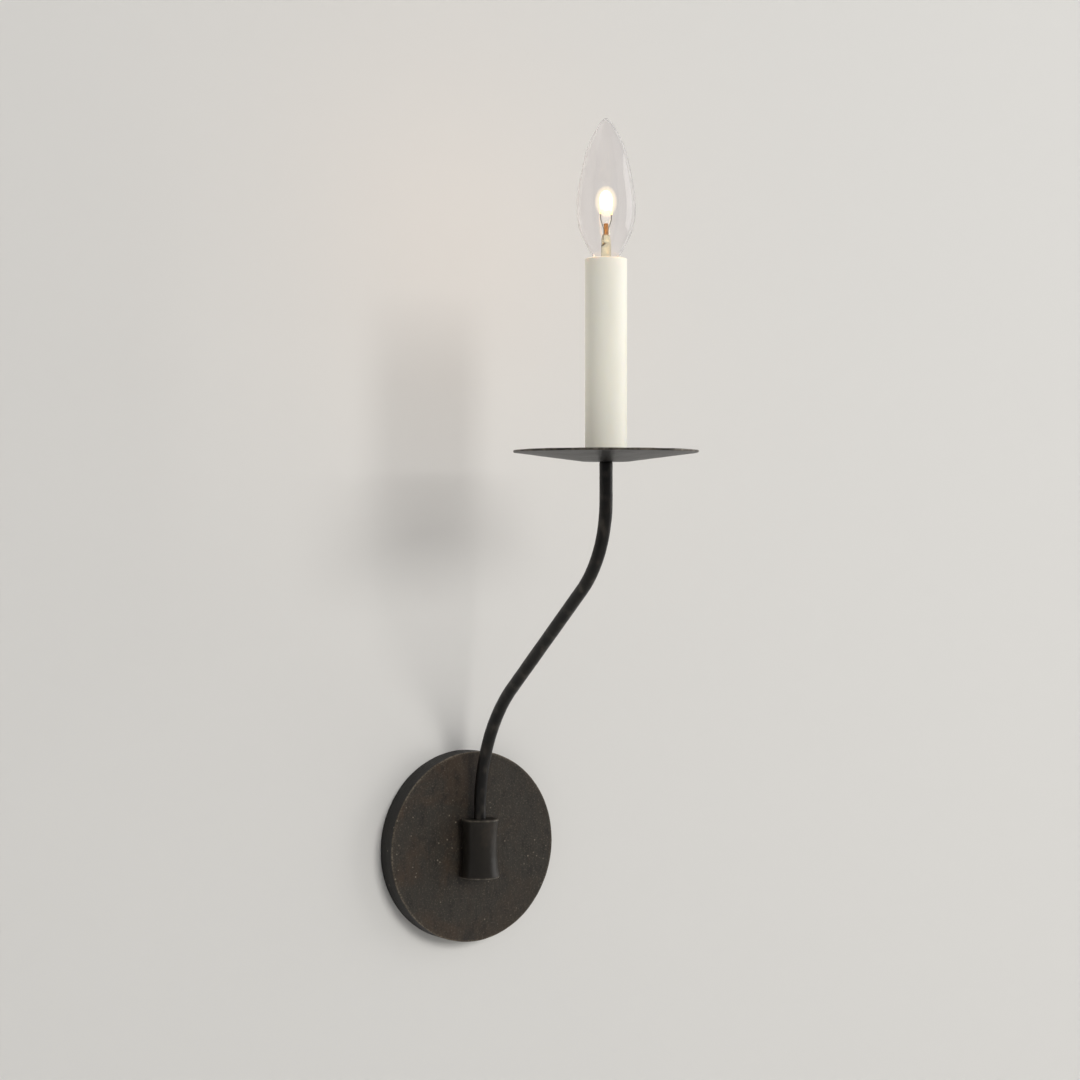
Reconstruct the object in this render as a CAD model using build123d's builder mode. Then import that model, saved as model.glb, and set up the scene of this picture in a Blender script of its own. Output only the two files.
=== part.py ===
from build123d import *
from math import ceil, cos, radians, sin, sqrt
import os

# Wall sconce with an electric candle. Millimetres, +Z up. The origin is the centre of the wall
# plate on the wall plane Y = 0, and the room is on the -Y side. "Out" is a distance from the wall.

# ---- wall plate -----------------------------------------------------------------------------
PLATE_R = 57.0              # plate radius
PLATE_DEPTH = 13.5          # wall to front face
PLATE_FRONT = 2.5           # thickness of the front
PLATE_RIM = 2.0             # thickness of the rim
PLATE_EDGE = 0.8            # rounding of the front edge

# ---- arm ------------------------------------------------------------------------------------
ARM_OUT = 20.1              # wall to the arm's upright lower end
REACH = 148.0               # wall to the candle's axis
ARM_R = 3.7                 # tube outside
ARM_BORE_R = 2.3            # tube inside
ARM_LEAN = 50.0             # slope of the straight run, degrees from upright
LOWER_BEND = 98.0           # centreline radius of each bend
UPPER_BEND = 66.0
BEND_START = 22.5           # height at which the lower bend starts
ARM_SEAT = 2.0              # height at which the arm stands in the boss
PAN_SEAT = 227.5            # height of the arm's shoulder under the pan
STUD_R = 3.0                # turned-down upper end of the arm
STUD_LENGTH = 9.5

# ---- boss -----------------------------------------------------------------------------------
BOSS_TOP_R = 11.4           # spool radius at its top,
BOSS_WAIST_R = 10.4         # at half its height,
BOSS_FOOT_R = 12.0          # and at its bottom
BOSS_HALF = 17.5            # half its height
BOSS_EDGE = 1.2             # rounding of its ends
WIREWAY_R = 3.1             # chamber below the arm
WIREWAY_DEPTH = 10.0
LEAD_EXIT = -4.0            # height at which the leads leave through the back
BUSHING_R = 3.75
BUSHING_BORE_R = 2.35
BUSHING_FLANGE_R = 4.75
BUSHING_FLANGE = 1.0
BUSHING_IN_BOSS = 1.5

# ---- pan ------------------------------------------------------------------------------------
PAN_R = 51.0
PAN_RISE = 5.0              # rim above hub
PAN_WALL = 1.4
PAN_HUB_MARGIN = 1.45       # flat of the hub past the candle sleeve
PAN_EDGE = 0.5

# ---- candle sleeve --------------------------------------------------------------------------
SLEEVE_R = 11.55
SLEEVE_WALL = 1.15
SLEEVE_HEIGHT = 110.0
SLEEVE_EDGE = 0.4

# ---- lampholder and its bracket -------------------------------------------------------------
HOLDER_R = 9.3
HOLDER_HEIGHT = 35.0
HOLDER_DROP = 5.6           # its top below the top of the sleeve
HOLDER_BORE_DEPTH = 19.5
LINER_WALL = 0.5
LINER_OVERLAP = 2.0         # liner past the lampholder's bottom
TERMINAL_X = 5.2            # terminals each side of the axis
TERMINAL_SIZE = 4.0
TERMINAL_HEIGHT = 6.0
TERMINAL_RECESS = 1.0       # terminal above the lampholder's bottom
TERMINAL_SCREW_R = 1.25
POST_R = 0.9                # brass post from a terminal up to what it feeds
LEAD_IN = 4.0               # how far a lead enters a terminal
LEG_HALF_WIDTH = 4.5
LEG_WALL = 1.2
LEG_BACK = 6.8              # candle's axis to the inner face of the leg
LEG_OVERLAP = 13.0          # leg beside the lampholder
FOOT_WALL = 1.5
FOOT_FRONT = 6.0            # foot in front of the axis
WASHER_R = 5.5
WASHER_WALL = 1.0
WASHER_GAP = 0.8            # split in the lock washer
NUT_FLATS = 10.0
NUT_HEIGHT = 4.0
RIVET_R = 1.5
RIVET_HEAD_R = 2.4
RIVET_HEAD = 0.8
RIVET_LENGTH = 3.5
RIVET_RISE = 10.0           # above the lampholder's bottom

# ---- lamp base and its socket ---------------------------------------------------------------
PITCH = 2.54                # candelabra thread
THREAD_CENTRE_R = 5.15      # helix radius shared by ridge and groove
RIDGE_R = 0.8               # round ridge wound on the lamp's shell
THREAD_PLAY = 0.2           # ridge to groove
SHELL_CORE_R = 5.25         # lamp's shell between the ridges
SHELL_WALL = 0.35
SHELL_LENGTH = 13.0
RIDGE_START = 1.6           # above the shell's lower end
RIDGE_TURNS = 3.5
SOCKET_WALL = 0.45          # socket shell behind its groove
SOCKET_DROP = 1.0           # below the lampholder's top
SOCKET_LENGTH = 13.4
BASE_DROP = 4.9             # top of the lamp's shell below the top of the sleeve
INSULATOR_HEIGHT = 2.6
INSULATOR_END_R = 2.5
CONTACT_R = 2.1
CONTACT_HEIGHT = 1.1
CONTACT_EDGE = 0.6
TIP_PLAY = 0.3              # lamp's contact to the socket's
LEAF_WALL = 0.6
LEAF_HALF_WIDTH = 1.5

# ---- lamp: heights are above the top of the sleeve -------------------------------------------
GLASS_R = 16.3              # widest radius of the envelope
TIP_RISE = 77.1
BELLY_SHARE = 0.344         # height of the widest point, as a share of the tip's
LOWER_SHARES = ((0.417, 0.0), (0.693, 0.105), (0.871, 0.187))   # (radius, height) below the belly
UPPER_SHARES = ((0.939, 0.511), (0.791, 0.674), (0.540, 0.837), (0.319, 0.917), (0.147, 0.971))
GLASS_SPREAD = (0.4, 1)     # slope of the outline at the shell
OUTLINE_STEPS = 12          # points that carry each inner stretch
GLASS_NECK_R = 4.6          # neck inside the shell
GLASS_NECK = 7.0            # length of the neck
GLASS_WALL = 0.7
GLASS_TIP_WALL = 1.3        # glass is thicker where it was sealed off
STEM_RISE = 13.4
STEM_R = 2.7
STEM_END_R = 2.0
STEM_ROD_R = 1.1            # button rod on the stem, between the supports
STEM_ROD = 6.1              # its length
STEM_FLARE = 5.0            # height of the flared foot of the stem
FILAMENT_RISE = 24.5        # its two ends
FILAMENT_HEIGHT = 11.0
FILAMENT_HALF = 3.6         # half its width
FILAMENT_R = 0.55
SUPPORT_R = 0.3
SUPPORT_SPREAD = 1.5        # supports where they leave the stem
SUPPORT_RISE = 3.0          # their upright ends

# ---- wires and fasteners --------------------------------------------------------------------
LEAD_R = 0.95
LEAD_SPREAD = 1.05          # each lead beside the arm's axis
LEAD_TURN = 3.0             # bend radius of a lead in a tight corner
LEAD_SWEEP = 5.0            # and in an open one
SLIP = 0.05                 # play of pins and screws in their holes
CLEAR = 0.3                 # play of parts that pass each other
M3_R = 1.5
M3_HEAD_R = 2.75
M3_HEAD = 2.0
M4_R = 2.0
M4_HEAD_R = 3.8
M4_HEAD = 2.4
DRIVE_WIDTH = 0.8           # screwdriver slot
DRIVE_DEPTH = 1.0
BOSS_SCREW_X = 6.0          # four boss screws at (+-X, +-Z)
BOSS_SCREW_Z = 11.0
BOSS_SCREW_GRIP = 4.5       # length in the boss
ARM_GRUB_Z = 10.0           # height of the grub screw that clamps the arm
ARM_GRUB_LENGTH = 5.0

# ---- mounting strap -------------------------------------------------------------------------
STRAP_HALF_WIDTH = 10.0
STRAP_WALL = 1.5
TAB_WALL = 2.0
TAB_HALF_WIDTH = 7.0
TAB_CLEAR = 2.0             # tab to the inside of the front
TAB_GAP = 0.8               # strap's corners to the inside of the rim
RIM_GRUB_OUT = 6.0          # wall to the axis of the plate's set screws
RIM_GRUB_LENGTH = 7.0
RIM_GRUB_SINK = 0.3         # below the rim's surface
SLOT_Z = 40.0               # middle of each junction-box slot
SLOT_LENGTH = 15.0
SLOT_WIDTH = 4.6
STRAP_HOLE_R = 6.0
GROUND_Z = -22.0
LUG_R = 4.0
LUG_WALL = 0.8
LUG_BARREL_R = 1.5
LUG_BARREL_END = 9.0
LUG_LEAD_IN = 4.0

# ---- supply terminal block ------------------------------------------------------------------
BLOCK_X = 24.0              # its left end
BLOCK_WIDTH = 16.0
BLOCK_BACK = 2.0            # wall to the block
BLOCK_PITCH = 6.0           # pole to pole
BLOCK_POLES = 3
BLOCK_Z = -4.0              # height of the middle pole
BARREL_R = 2.4
BARREL_BORE_R = 1.15
BARREL_INSET = 2.0          # barrel behind the block's end
CLAMP_R = 1.0
CLAMP_SPACING = 6.0
CLAMP_SINK = 0.5            # screw below the block's face
EAR_HEIGHT = 7.0
EAR_WALL = 3.0
EAR_SCREW_GRIP = 1.8        # length in the plate

# ---- values that follow from the above ------------------------------------------------------
PLATE_INNER_R = PLATE_R - PLATE_RIM
PLATE_INSIDE = PLATE_DEPTH - PLATE_FRONT
PAN_TOP = PAN_SEAT + PAN_WALL
PAN_HUB_R = SLEEVE_R + PAN_HUB_MARGIN
STUD_TOP = PAN_SEAT + STUD_LENGTH
SLEEVE_TOP = PAN_TOP + SLEEVE_HEIGHT
SLEEVE_BORE_R = SLEEVE_R - SLEEVE_WALL
HOLDER_TOP = SLEEVE_TOP - HOLDER_DROP
HOLDER_BOTTOM = HOLDER_TOP - HOLDER_HEIGHT
HOLDER_FLOOR = HOLDER_TOP - HOLDER_BORE_DEPTH
TERMINAL_BOTTOM = HOLDER_BOTTOM + TERMINAL_RECESS
TERMINAL_TOP = TERMINAL_BOTTOM + TERMINAL_HEIGHT
FOOT_TOP = PAN_TOP + FOOT_WALL
WASHER_TOP = FOOT_TOP + WASHER_WALL
BASE_TOP = SLEEVE_TOP - BASE_DROP
BASE_BOTTOM = BASE_TOP - SHELL_LENGTH
INSULATOR_BOTTOM = BASE_BOTTOM - INSULATOR_HEIGHT
CONTACT_TIP = INSULATOR_BOTTOM - CONTACT_HEIGHT
GROOVE_R = RIDGE_R + THREAD_PLAY
SOCKET_BORE_R = SHELL_CORE_R + THREAD_PLAY
SOCKET_R = THREAD_CENTRE_R + GROOVE_R + SOCKET_WALL
SOCKET_TOP = HOLDER_TOP - SOCKET_DROP
SOCKET_BOTTOM = SOCKET_TOP - SOCKET_LENGTH
GLASS_TIP = SLEEVE_TOP + TIP_RISE
GLASS_BELLY = SLEEVE_TOP + BELLY_SHARE * TIP_RISE
LOWER_POINTS = [(GLASS_R * r, SLEEVE_TOP + TIP_RISE * h) for r, h in LOWER_SHARES]
UPPER_POINTS = [(GLASS_R * r, SLEEVE_TOP + TIP_RISE * h) for r, h in UPPER_SHARES]
GLASS_NECK_BORE_R = GLASS_NECK_R - GLASS_WALL
STEM_TOP = SLEEVE_TOP + STEM_RISE
FILAMENT_BOTTOM = SLEEVE_TOP + FILAMENT_RISE
FILAMENT_TOP = FILAMENT_BOTTOM + FILAMENT_HEIGHT
TAB_DEPTH = PLATE_INSIDE - TAB_CLEAR
TAB_END = sqrt((PLATE_INNER_R - TAB_GAP) ** 2 - STRAP_HALF_WIDTH ** 2)
BARREL_LENGTH = BLOCK_WIDTH - 2 * BARREL_INSET
BLOCK_POLE_ZS = [BLOCK_Z + BLOCK_PITCH * (i - (BLOCK_POLES - 1) / 2) for i in range(BLOCK_POLES)]
BLOCK_DEPTH = PLATE_INSIDE - BLOCK_BACK
BLOCK_BARREL_OUT = BLOCK_BACK + BLOCK_DEPTH / 2
BLOCK_MIDDLE = BLOCK_X + BLOCK_WIDTH / 2
BLOCK_LEAD_END = BLOCK_X + LEAD_IN
EAR_Z = BLOCK_Z + (BLOCK_POLES * BLOCK_PITCH + EAR_HEIGHT) / 2

os.makedirs("parts", exist_ok=True)


def save(piece, label):
    piece.part.label = label
    export_step(piece.part, f"parts/{label}.step")


def out_plane(out):
    """Plane parallel to the wall: local x is +X, local y is +Z, and it faces the room."""
    return Plane.XZ.offset(out)


def level_plane(out, height):
    """Level plane with its origin above or below a point that far out."""
    return Plane(origin=(0, -out, height))


def side_plane(x):
    """Plane square to X, facing +X: local x is +Y and local y is +Z."""
    return Plane.YZ.offset(x)


def axis_plane(out):
    """Upright plane through an upright axis: local x is the radius, local y the height."""
    return Plane.XZ.offset(out)


def upright_axis(out):
    return Axis((0, -out, 0), (0, 0, 1))


# ==== wall plate and boss ====================================================================
def make_wall_plate():
    """Round cup, open at the wall, with holes for the boss, the leads and the set screws."""
    with BuildPart() as plate:
        with BuildSketch(out_plane(0)):
            Circle(PLATE_R)
        extrude(amount=PLATE_DEPTH)
        fillet(plate.edges().filter_by(GeomType.CIRCLE).sort_by(Axis.Y)[0], PLATE_EDGE)
        with BuildSketch(out_plane(0)):
            Circle(PLATE_INNER_R)
        extrude(amount=PLATE_INSIDE, mode=Mode.SUBTRACT)
        with BuildSketch(out_plane(PLATE_INSIDE)):
            with GridLocations(2 * BOSS_SCREW_X, 2 * BOSS_SCREW_Z, 2, 2):
                Circle(M3_R + SLIP)
            with Locations((0, LEAD_EXIT)):
                Circle(BUSHING_R + SLIP)
            with Locations((0, ARM_GRUB_Z)):
                Circle(M4_R + CLEAR)
        extrude(amount=PLATE_FRONT, mode=Mode.SUBTRACT)
        with BuildSketch(out_plane(PLATE_INSIDE)):
            with Locations((BLOCK_MIDDLE, EAR_Z)):
                Circle(M3_R + SLIP)
        extrude(amount=EAR_SCREW_GRIP, mode=Mode.SUBTRACT)
        with BuildSketch(level_plane(RIM_GRUB_OUT, -PLATE_R)):
            Circle(M4_R + SLIP)
        extrude(amount=2 * PLATE_R, mode=Mode.SUBTRACT)
    save(plate, "wall_plate")


def make_boss():
    """Waisted spool, cut flat where it seats on the plate, bored for the arm and the leads."""
    with BuildPart() as boss:
        with BuildSketch(axis_plane(ARM_OUT)) as profile:
            with BuildLine():
                side = ThreePointArc((BOSS_FOOT_R, -BOSS_HALF), (BOSS_WAIST_R, 0), (BOSS_TOP_R, BOSS_HALF))
                Polyline(side @ 1, (0, BOSS_HALF), (0, -BOSS_HALF), side @ 0)
            make_face()
            fillet(profile.vertices().sort_by(Axis.X)[-2:], BOSS_EDGE)
        revolve(axis=upright_axis(ARM_OUT))
        with BuildSketch(out_plane(PLATE_DEPTH)):
            Rectangle(2 * PLATE_R, 2 * PLATE_R)
        extrude(amount=-PLATE_DEPTH, mode=Mode.SUBTRACT)
        with BuildSketch(level_plane(ARM_OUT, ARM_SEAT)):
            Circle(ARM_R + SLIP)
        extrude(amount=BOSS_HALF - ARM_SEAT, mode=Mode.SUBTRACT)
        with BuildSketch(level_plane(ARM_OUT, ARM_SEAT)):
            Circle(WIREWAY_R)
        extrude(amount=-WIREWAY_DEPTH, mode=Mode.SUBTRACT)
        with BuildSketch(out_plane(PLATE_DEPTH)):
            with Locations((0, LEAD_EXIT)):
                Circle(BUSHING_BORE_R)
            with Locations((0, ARM_GRUB_Z)):
                Circle(M4_R + SLIP)
        extrude(amount=ARM_OUT - PLATE_DEPTH, mode=Mode.SUBTRACT)
        with BuildSketch(out_plane(PLATE_DEPTH)):
            with Locations((0, LEAD_EXIT)):
                Circle(BUSHING_R + SLIP)
        extrude(amount=BUSHING_IN_BOSS, mode=Mode.SUBTRACT)
        with BuildSketch(out_plane(PLATE_DEPTH)):
            with GridLocations(2 * BOSS_SCREW_X, 2 * BOSS_SCREW_Z, 2, 2):
                Circle(M3_R + SLIP)
        extrude(amount=BOSS_SCREW_GRIP + CLEAR, mode=Mode.SUBTRACT)
    save(boss, "boss")


def make_wire_bushing():
    """Flanged insulating bush through the plate into the boss."""
    with BuildPart() as bushing:
        with BuildSketch(out_plane(PLATE_INSIDE)):
            with Locations((0, LEAD_EXIT)):
                Circle(BUSHING_R)
        extrude(amount=PLATE_FRONT + BUSHING_IN_BOSS)
        with BuildSketch(out_plane(PLATE_INSIDE - BUSHING_FLANGE)):
            with Locations((0, LEAD_EXIT)):
                Circle(BUSHING_FLANGE_R)
        extrude(amount=BUSHING_FLANGE)
        with BuildSketch(out_plane(PLATE_INSIDE - BUSHING_FLANGE)):
            with Locations((0, LEAD_EXIT)):
                Circle(BUSHING_BORE_R)
        extrude(amount=BUSHING_FLANGE + PLATE_FRONT + BUSHING_IN_BOSS, mode=Mode.SUBTRACT)
    save(bushing, "wire_bushing")


# ==== screws =================================================================================
def make_pan_head_screws(label, seat, places, shank_r, shank, head_r, head):
    """Slotted screws: the heads stand back from the seat plane, the shanks go forward."""
    with BuildPart() as screws:
        with BuildSketch(seat):
            with Locations(*places):
                Circle(shank_r)
        extrude(amount=shank)
        with BuildSketch(seat):
            with Locations(*places):
                Circle(head_r)
        extrude(amount=-head)
        with BuildSketch(seat.offset(-head)):
            with Locations(*places):
                Rectangle(2 * head_r, DRIVE_WIDTH)
        extrude(amount=DRIVE_DEPTH, mode=Mode.SUBTRACT)
    save(screws, label)


def make_grub_screws(label, ends, length, radius):
    """Headless screws, each from its driven end, with a hexagon socket."""
    with BuildPart() as screws:
        for end in ends:
            with BuildSketch(end):
                Circle(radius)
            extrude(amount=length)
            with BuildSketch(end):
                RegularPolygon(radius / 2, 6)
            extrude(amount=DRIVE_DEPTH, mode=Mode.SUBTRACT)
    save(screws, label)


def make_plate_fasteners():
    boss_places = [(x, z) for x in (-BOSS_SCREW_X, BOSS_SCREW_X) for z in (-BOSS_SCREW_Z, BOSS_SCREW_Z)]
    make_pan_head_screws("boss_screws", out_plane(PLATE_INSIDE), boss_places,
                         M3_R, PLATE_FRONT + BOSS_SCREW_GRIP, M3_HEAD_R, M3_HEAD)
    arm_back = ARM_OUT - ARM_R
    driven_end = Plane(origin=(0, -(arm_back - ARM_GRUB_LENGTH), ARM_GRUB_Z), z_dir=(0, -1, 0))
    make_grub_screws("arm_set_screw", [driven_end], ARM_GRUB_LENGTH, M4_R)
    rim = PLATE_R - RIM_GRUB_SINK
    rim_ends = [Plane(origin=(0, -RIM_GRUB_OUT, side * rim), z_dir=(0, 0, -side)) for side in (1, -1)]
    make_grub_screws("plate_set_screws", rim_ends, RIM_GRUB_LENGTH, M4_R)
    ground_seat = Plane(origin=(0, -(STRAP_WALL + LUG_WALL), GROUND_Z), z_dir=(0, 1, 0))
    make_pan_head_screws("ground_screw", ground_seat, [(0, 0)], M4_R, STRAP_WALL + LUG_WALL,
                         M4_HEAD_R, M4_HEAD)
    make_pan_head_screws("block_screw", out_plane(PLATE_INSIDE - EAR_WALL), [(BLOCK_MIDDLE, EAR_Z)],
                         M3_R, EAR_WALL + EAR_SCREW_GRIP - CLEAR, M3_HEAD_R, M3_HEAD)


# ==== mounting strap =========================================================================
def make_mounting_strap():
    """Flat bar against the junction box, with a bent tab at each end for the set screws."""
    with BuildPart() as strap:
        with BuildSketch(out_plane(0)):
            Rectangle(2 * STRAP_HALF_WIDTH, 2 * TAB_END)
        extrude(amount=STRAP_WALL)
        with BuildSketch(out_plane(0)):
            with GridLocations(0, 2 * TAB_END - TAB_WALL, 1, 2):
                Rectangle(2 * TAB_HALF_WIDTH, TAB_WALL)
        extrude(amount=TAB_DEPTH)
        with BuildSketch(out_plane(0)):
            Circle(STRAP_HOLE_R)
            with GridLocations(0, 2 * SLOT_Z, 1, 2):
                SlotOverall(SLOT_LENGTH, SLOT_WIDTH, rotation=90)
            with Locations((0, GROUND_Z)):
                Circle(M4_R + SLIP)
        extrude(amount=STRAP_WALL, mode=Mode.SUBTRACT)
        with BuildSketch(level_plane(RIM_GRUB_OUT, -TAB_END)):
            Circle(M4_R + SLIP)
        extrude(amount=2 * TAB_END, mode=Mode.SUBTRACT)
    save(strap, "mounting_strap")


def make_ground_lug():
    """Ring under the ground screw with a crimp barrel beside it."""
    barrel_out = STRAP_WALL + LUG_BARREL_R
    with BuildPart() as lug:
        with BuildSketch(out_plane(STRAP_WALL)):
            with Locations((0, GROUND_Z)):
                Circle(LUG_R)
            with Locations((LUG_R, GROUND_Z)):
                Rectangle(LUG_R, 2 * LUG_BARREL_R)
        extrude(amount=LUG_WALL)
        with BuildSketch(side_plane(LUG_R + CLEAR)):
            with Locations((-barrel_out, GROUND_Z)):
                Circle(LUG_BARREL_R)
        extrude(amount=LUG_BARREL_END - LUG_R - CLEAR)
        with BuildSketch(side_plane(LUG_BARREL_END)):
            with Locations((-barrel_out, GROUND_Z)):
                Circle(LEAD_R + SLIP)
        extrude(amount=-LUG_LEAD_IN, mode=Mode.SUBTRACT)
        with BuildSketch(out_plane(0)):
            with Locations((0, GROUND_Z)):
                Circle(M4_R + SLIP)
        extrude(amount=STRAP_WALL + LUG_WALL, mode=Mode.SUBTRACT)
    save(lug, "ground_lug")


# ==== terminal block =========================================================================
def make_terminal_block():
    """Moulded three-pole block screwed to the inside of the plate by an ear."""
    poles_height = BLOCK_POLES * BLOCK_PITCH
    with BuildPart() as block:
        with BuildSketch(out_plane(BLOCK_BACK)):
            with Locations((BLOCK_MIDDLE, BLOCK_Z)):
                Rectangle(BLOCK_WIDTH, poles_height)
        extrude(amount=BLOCK_DEPTH)
        with BuildSketch(out_plane(PLATE_INSIDE)):
            with Locations((BLOCK_MIDDLE, EAR_Z)):
                Rectangle(BLOCK_WIDTH, EAR_HEIGHT)
        extrude(amount=-EAR_WALL)
        with BuildSketch(side_plane(BLOCK_X)):
            with Locations(*[(-BLOCK_BARREL_OUT, z) for z in BLOCK_POLE_ZS]):
                Circle(BARREL_R + SLIP)
        extrude(amount=BLOCK_WIDTH, mode=Mode.SUBTRACT)
        with BuildSketch(out_plane(BLOCK_BACK)):
            for z in BLOCK_POLE_ZS:
                with Locations((BLOCK_MIDDLE, z)):
                    with GridLocations(CLAMP_SPACING, 0, 2, 1):
                        Circle(CLAMP_R + SLIP)
        extrude(amount=BLOCK_BARREL_OUT - BLOCK_BACK, mode=Mode.SUBTRACT)
        with BuildSketch(out_plane(PLATE_INSIDE)):
            with Locations((BLOCK_MIDDLE, EAR_Z)):
                Circle(M3_R + SLIP)
        extrude(amount=-EAR_WALL, mode=Mode.SUBTRACT)
    save(block, "terminal_block")


def make_terminal_barrels():
    """Brass barrels that join each fixture lead to its supply wire."""
    with BuildPart() as barrels:
        with BuildSketch(side_plane(BLOCK_X + BARREL_INSET)):
            with Locations(*[(-BLOCK_BARREL_OUT, z) for z in BLOCK_POLE_ZS]):
                Circle(BARREL_R)
                Circle(BARREL_BORE_R, mode=Mode.SUBTRACT)
        extrude(amount=BARREL_LENGTH)
        with BuildSketch(out_plane(BLOCK_BARREL_OUT - BARREL_R)):
            for z in BLOCK_POLE_ZS:
                with Locations((BLOCK_MIDDLE, z)):
                    with GridLocations(CLAMP_SPACING, 0, 2, 1):
                        Circle(CLAMP_R + SLIP)
        extrude(amount=BARREL_R, mode=Mode.SUBTRACT)
    save(barrels, "terminal_barrels")


def make_clamp_screws():
    """Two screws a pole, driven from the wall side, ending on the wire."""
    top = BLOCK_BACK + CLAMP_SINK
    with BuildPart() as screws:
        with BuildSketch(out_plane(top)):
            for z in BLOCK_POLE_ZS:
                with Locations((BLOCK_MIDDLE, z)):
                    with GridLocations(CLAMP_SPACING, 0, 2, 1):
                        Circle(CLAMP_R)
        extrude(amount=BLOCK_BARREL_OUT - LEAD_R - SLIP - top)
    save(screws, "clamp_screws")


# ==== arm and leads ==========================================================================
def arm_centreline(start, end):
    """Upright, lower bend, straight run, upper bend, upright: local x is out, local y is height."""
    lean = radians(ARM_LEAN)
    bends_reach = (LOWER_BEND + UPPER_BEND) * (1 - cos(lean))
    straight_length = (REACH - ARM_OUT - bends_reach) / sin(lean)
    Line((ARM_OUT, start), (ARM_OUT, BEND_START))
    lower = JernArc((ARM_OUT, BEND_START), (0, 1), LOWER_BEND, -ARM_LEAN)
    elbow = (ARM_OUT + LOWER_BEND * (1 - cos(lean)), BEND_START + LOWER_BEND * sin(lean))
    shoulder = (elbow[0] + straight_length * sin(lean), elbow[1] + straight_length * cos(lean))
    Line(elbow, shoulder)
    JernArc(shoulder, (sin(lean), cos(lean)), UPPER_BEND, ARM_LEAN)
    Line((REACH, shoulder[1] + UPPER_BEND * sin(lean)), (REACH, end))
    return lower


def arm_side_plane(x):
    """Upright plane along the arm: local x is out from the wall, local y is height."""
    return Plane(origin=(x, 0, 0), x_dir=(0, -1, 0), z_dir=(-1, 0, 0))


def make_arm():
    """Bent tube, turned down at its upper end to a hollow stud."""
    with BuildPart() as arm:
        with BuildLine(arm_side_plane(0)):
            arm_centreline(ARM_SEAT, PAN_SEAT)
        with BuildSketch(level_plane(ARM_OUT, ARM_SEAT)):
            Circle(ARM_R)
            Circle(ARM_BORE_R, mode=Mode.SUBTRACT)
        sweep()
        with BuildSketch(level_plane(REACH, PAN_SEAT)):
            Circle(STUD_R)
            Circle(ARM_BORE_R, mode=Mode.SUBTRACT)
        extrude(amount=STUD_LENGTH)
    save(arm, "arm")


def sweep_lead(points, radii):
    """Round wire along straight runs joined by arcs, added to the part being built."""
    with BuildLine() as route:
        FilletPolyline(*points, radius=radii)
    with BuildSketch(Plane(origin=route.line @ 0, z_dir=route.line % 0)) as section:
        Circle(LEAD_R)
    sweep(section.sketch, path=route.wires()[0])


def make_lead(label, side, crossing_out, block_points):
    """Lead from the terminal block, through the bushing and up the arm to the lampholder."""
    x = side * LEAD_SPREAD
    corner = [(x, -crossing_out, LEAD_EXIT), (x, -ARM_OUT, LEAD_EXIT), (x, -ARM_OUT, ARM_SEAT)]
    terminal_x = side * TERMINAL_X
    rise = HOLDER_BOTTOM - STUD_TOP
    upper = [(x, -REACH, STUD_TOP), (x, -REACH, STUD_TOP + rise / 5),
             (terminal_x, -REACH, STUD_TOP + rise / 2), (terminal_x, -REACH, TERMINAL_BOTTOM + LEAD_IN)]
    with BuildPart() as lead:
        sweep_lead(block_points + corner, [LEAD_SWEEP] * (len(block_points) - 1) + [LEAD_TURN] * 2)
        with BuildLine(arm_side_plane(x)) as route:
            arm_centreline(ARM_SEAT, STUD_TOP)
        with BuildSketch(Plane(origin=(x, -ARM_OUT, ARM_SEAT))):
            Circle(LEAD_R)
        sweep(path=route.wires()[0])
        sweep_lead(upper, LEAD_SWEEP)
    save(lead, label)


def make_leads():
    bottom_pole, middle_pole, top_pole = BLOCK_POLE_ZS
    low, high = BUSHING_FLANGE_R * 2, BLOCK_X - LEAD_SWEEP
    near_out = PLATE_INSIDE - BUSHING_FLANGE - 2 * LEAD_R
    make_lead("lead_black", 1, near_out, [
        (BLOCK_LEAD_END, -BLOCK_BARREL_OUT, top_pole), (high, -BLOCK_BARREL_OUT, top_pole),
        (low, -near_out, LEAD_EXIT)])
    far_out = near_out - 3 * LEAD_R - CLEAR
    make_lead("lead_white", -1, far_out, [
        (BLOCK_LEAD_END, -BLOCK_BARREL_OUT, middle_pole), (high, -BLOCK_BARREL_OUT, middle_pole),
        (low, -far_out, LEAD_EXIT)])
    lug_out = STRAP_WALL + LUG_BARREL_R
    with BuildPart() as lead_ground:
        sweep_lead([(BLOCK_LEAD_END, -BLOCK_BARREL_OUT, bottom_pole),
                    (high, -BLOCK_BARREL_OUT, bottom_pole),
                    (LUG_BARREL_END + LEAD_TURN, -lug_out, GROUND_Z),
                    (LUG_BARREL_END - LUG_LEAD_IN, -lug_out, GROUND_Z)],
                   [LEAD_TURN, LEAD_TURN])
    save(lead_ground, "lead_ground")


# ==== pan and what clamps it =================================================================
def make_pan():
    """Shallow dish: a flat hub with a straight cone up to a rounded rim."""
    with BuildPart() as pan:
        with BuildSketch(axis_plane(REACH)) as profile:
            with BuildLine():
                Polyline((STUD_R + SLIP, PAN_SEAT), (PAN_HUB_R, PAN_SEAT), (PAN_R, PAN_SEAT + PAN_RISE),
                         (PAN_R, PAN_TOP + PAN_RISE), (PAN_HUB_R, PAN_TOP), (STUD_R + SLIP, PAN_TOP),
                         close=True)
            make_face()
            fillet(profile.vertices().group_by(Axis.X)[-1], PAN_EDGE)
        revolve(axis=upright_axis(REACH))
    save(pan, "pan")


def make_lock_washer():
    """Split spring washer."""
    with BuildPart() as washer:
        with BuildSketch(level_plane(REACH, FOOT_TOP)):
            Circle(WASHER_R)
            Circle(STUD_R + SLIP, mode=Mode.SUBTRACT)
            with Locations((WASHER_R, 0)):
                Rectangle(2 * WASHER_R, WASHER_GAP, mode=Mode.SUBTRACT)
        extrude(amount=WASHER_WALL)
    save(washer, "lock_washer")


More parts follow.
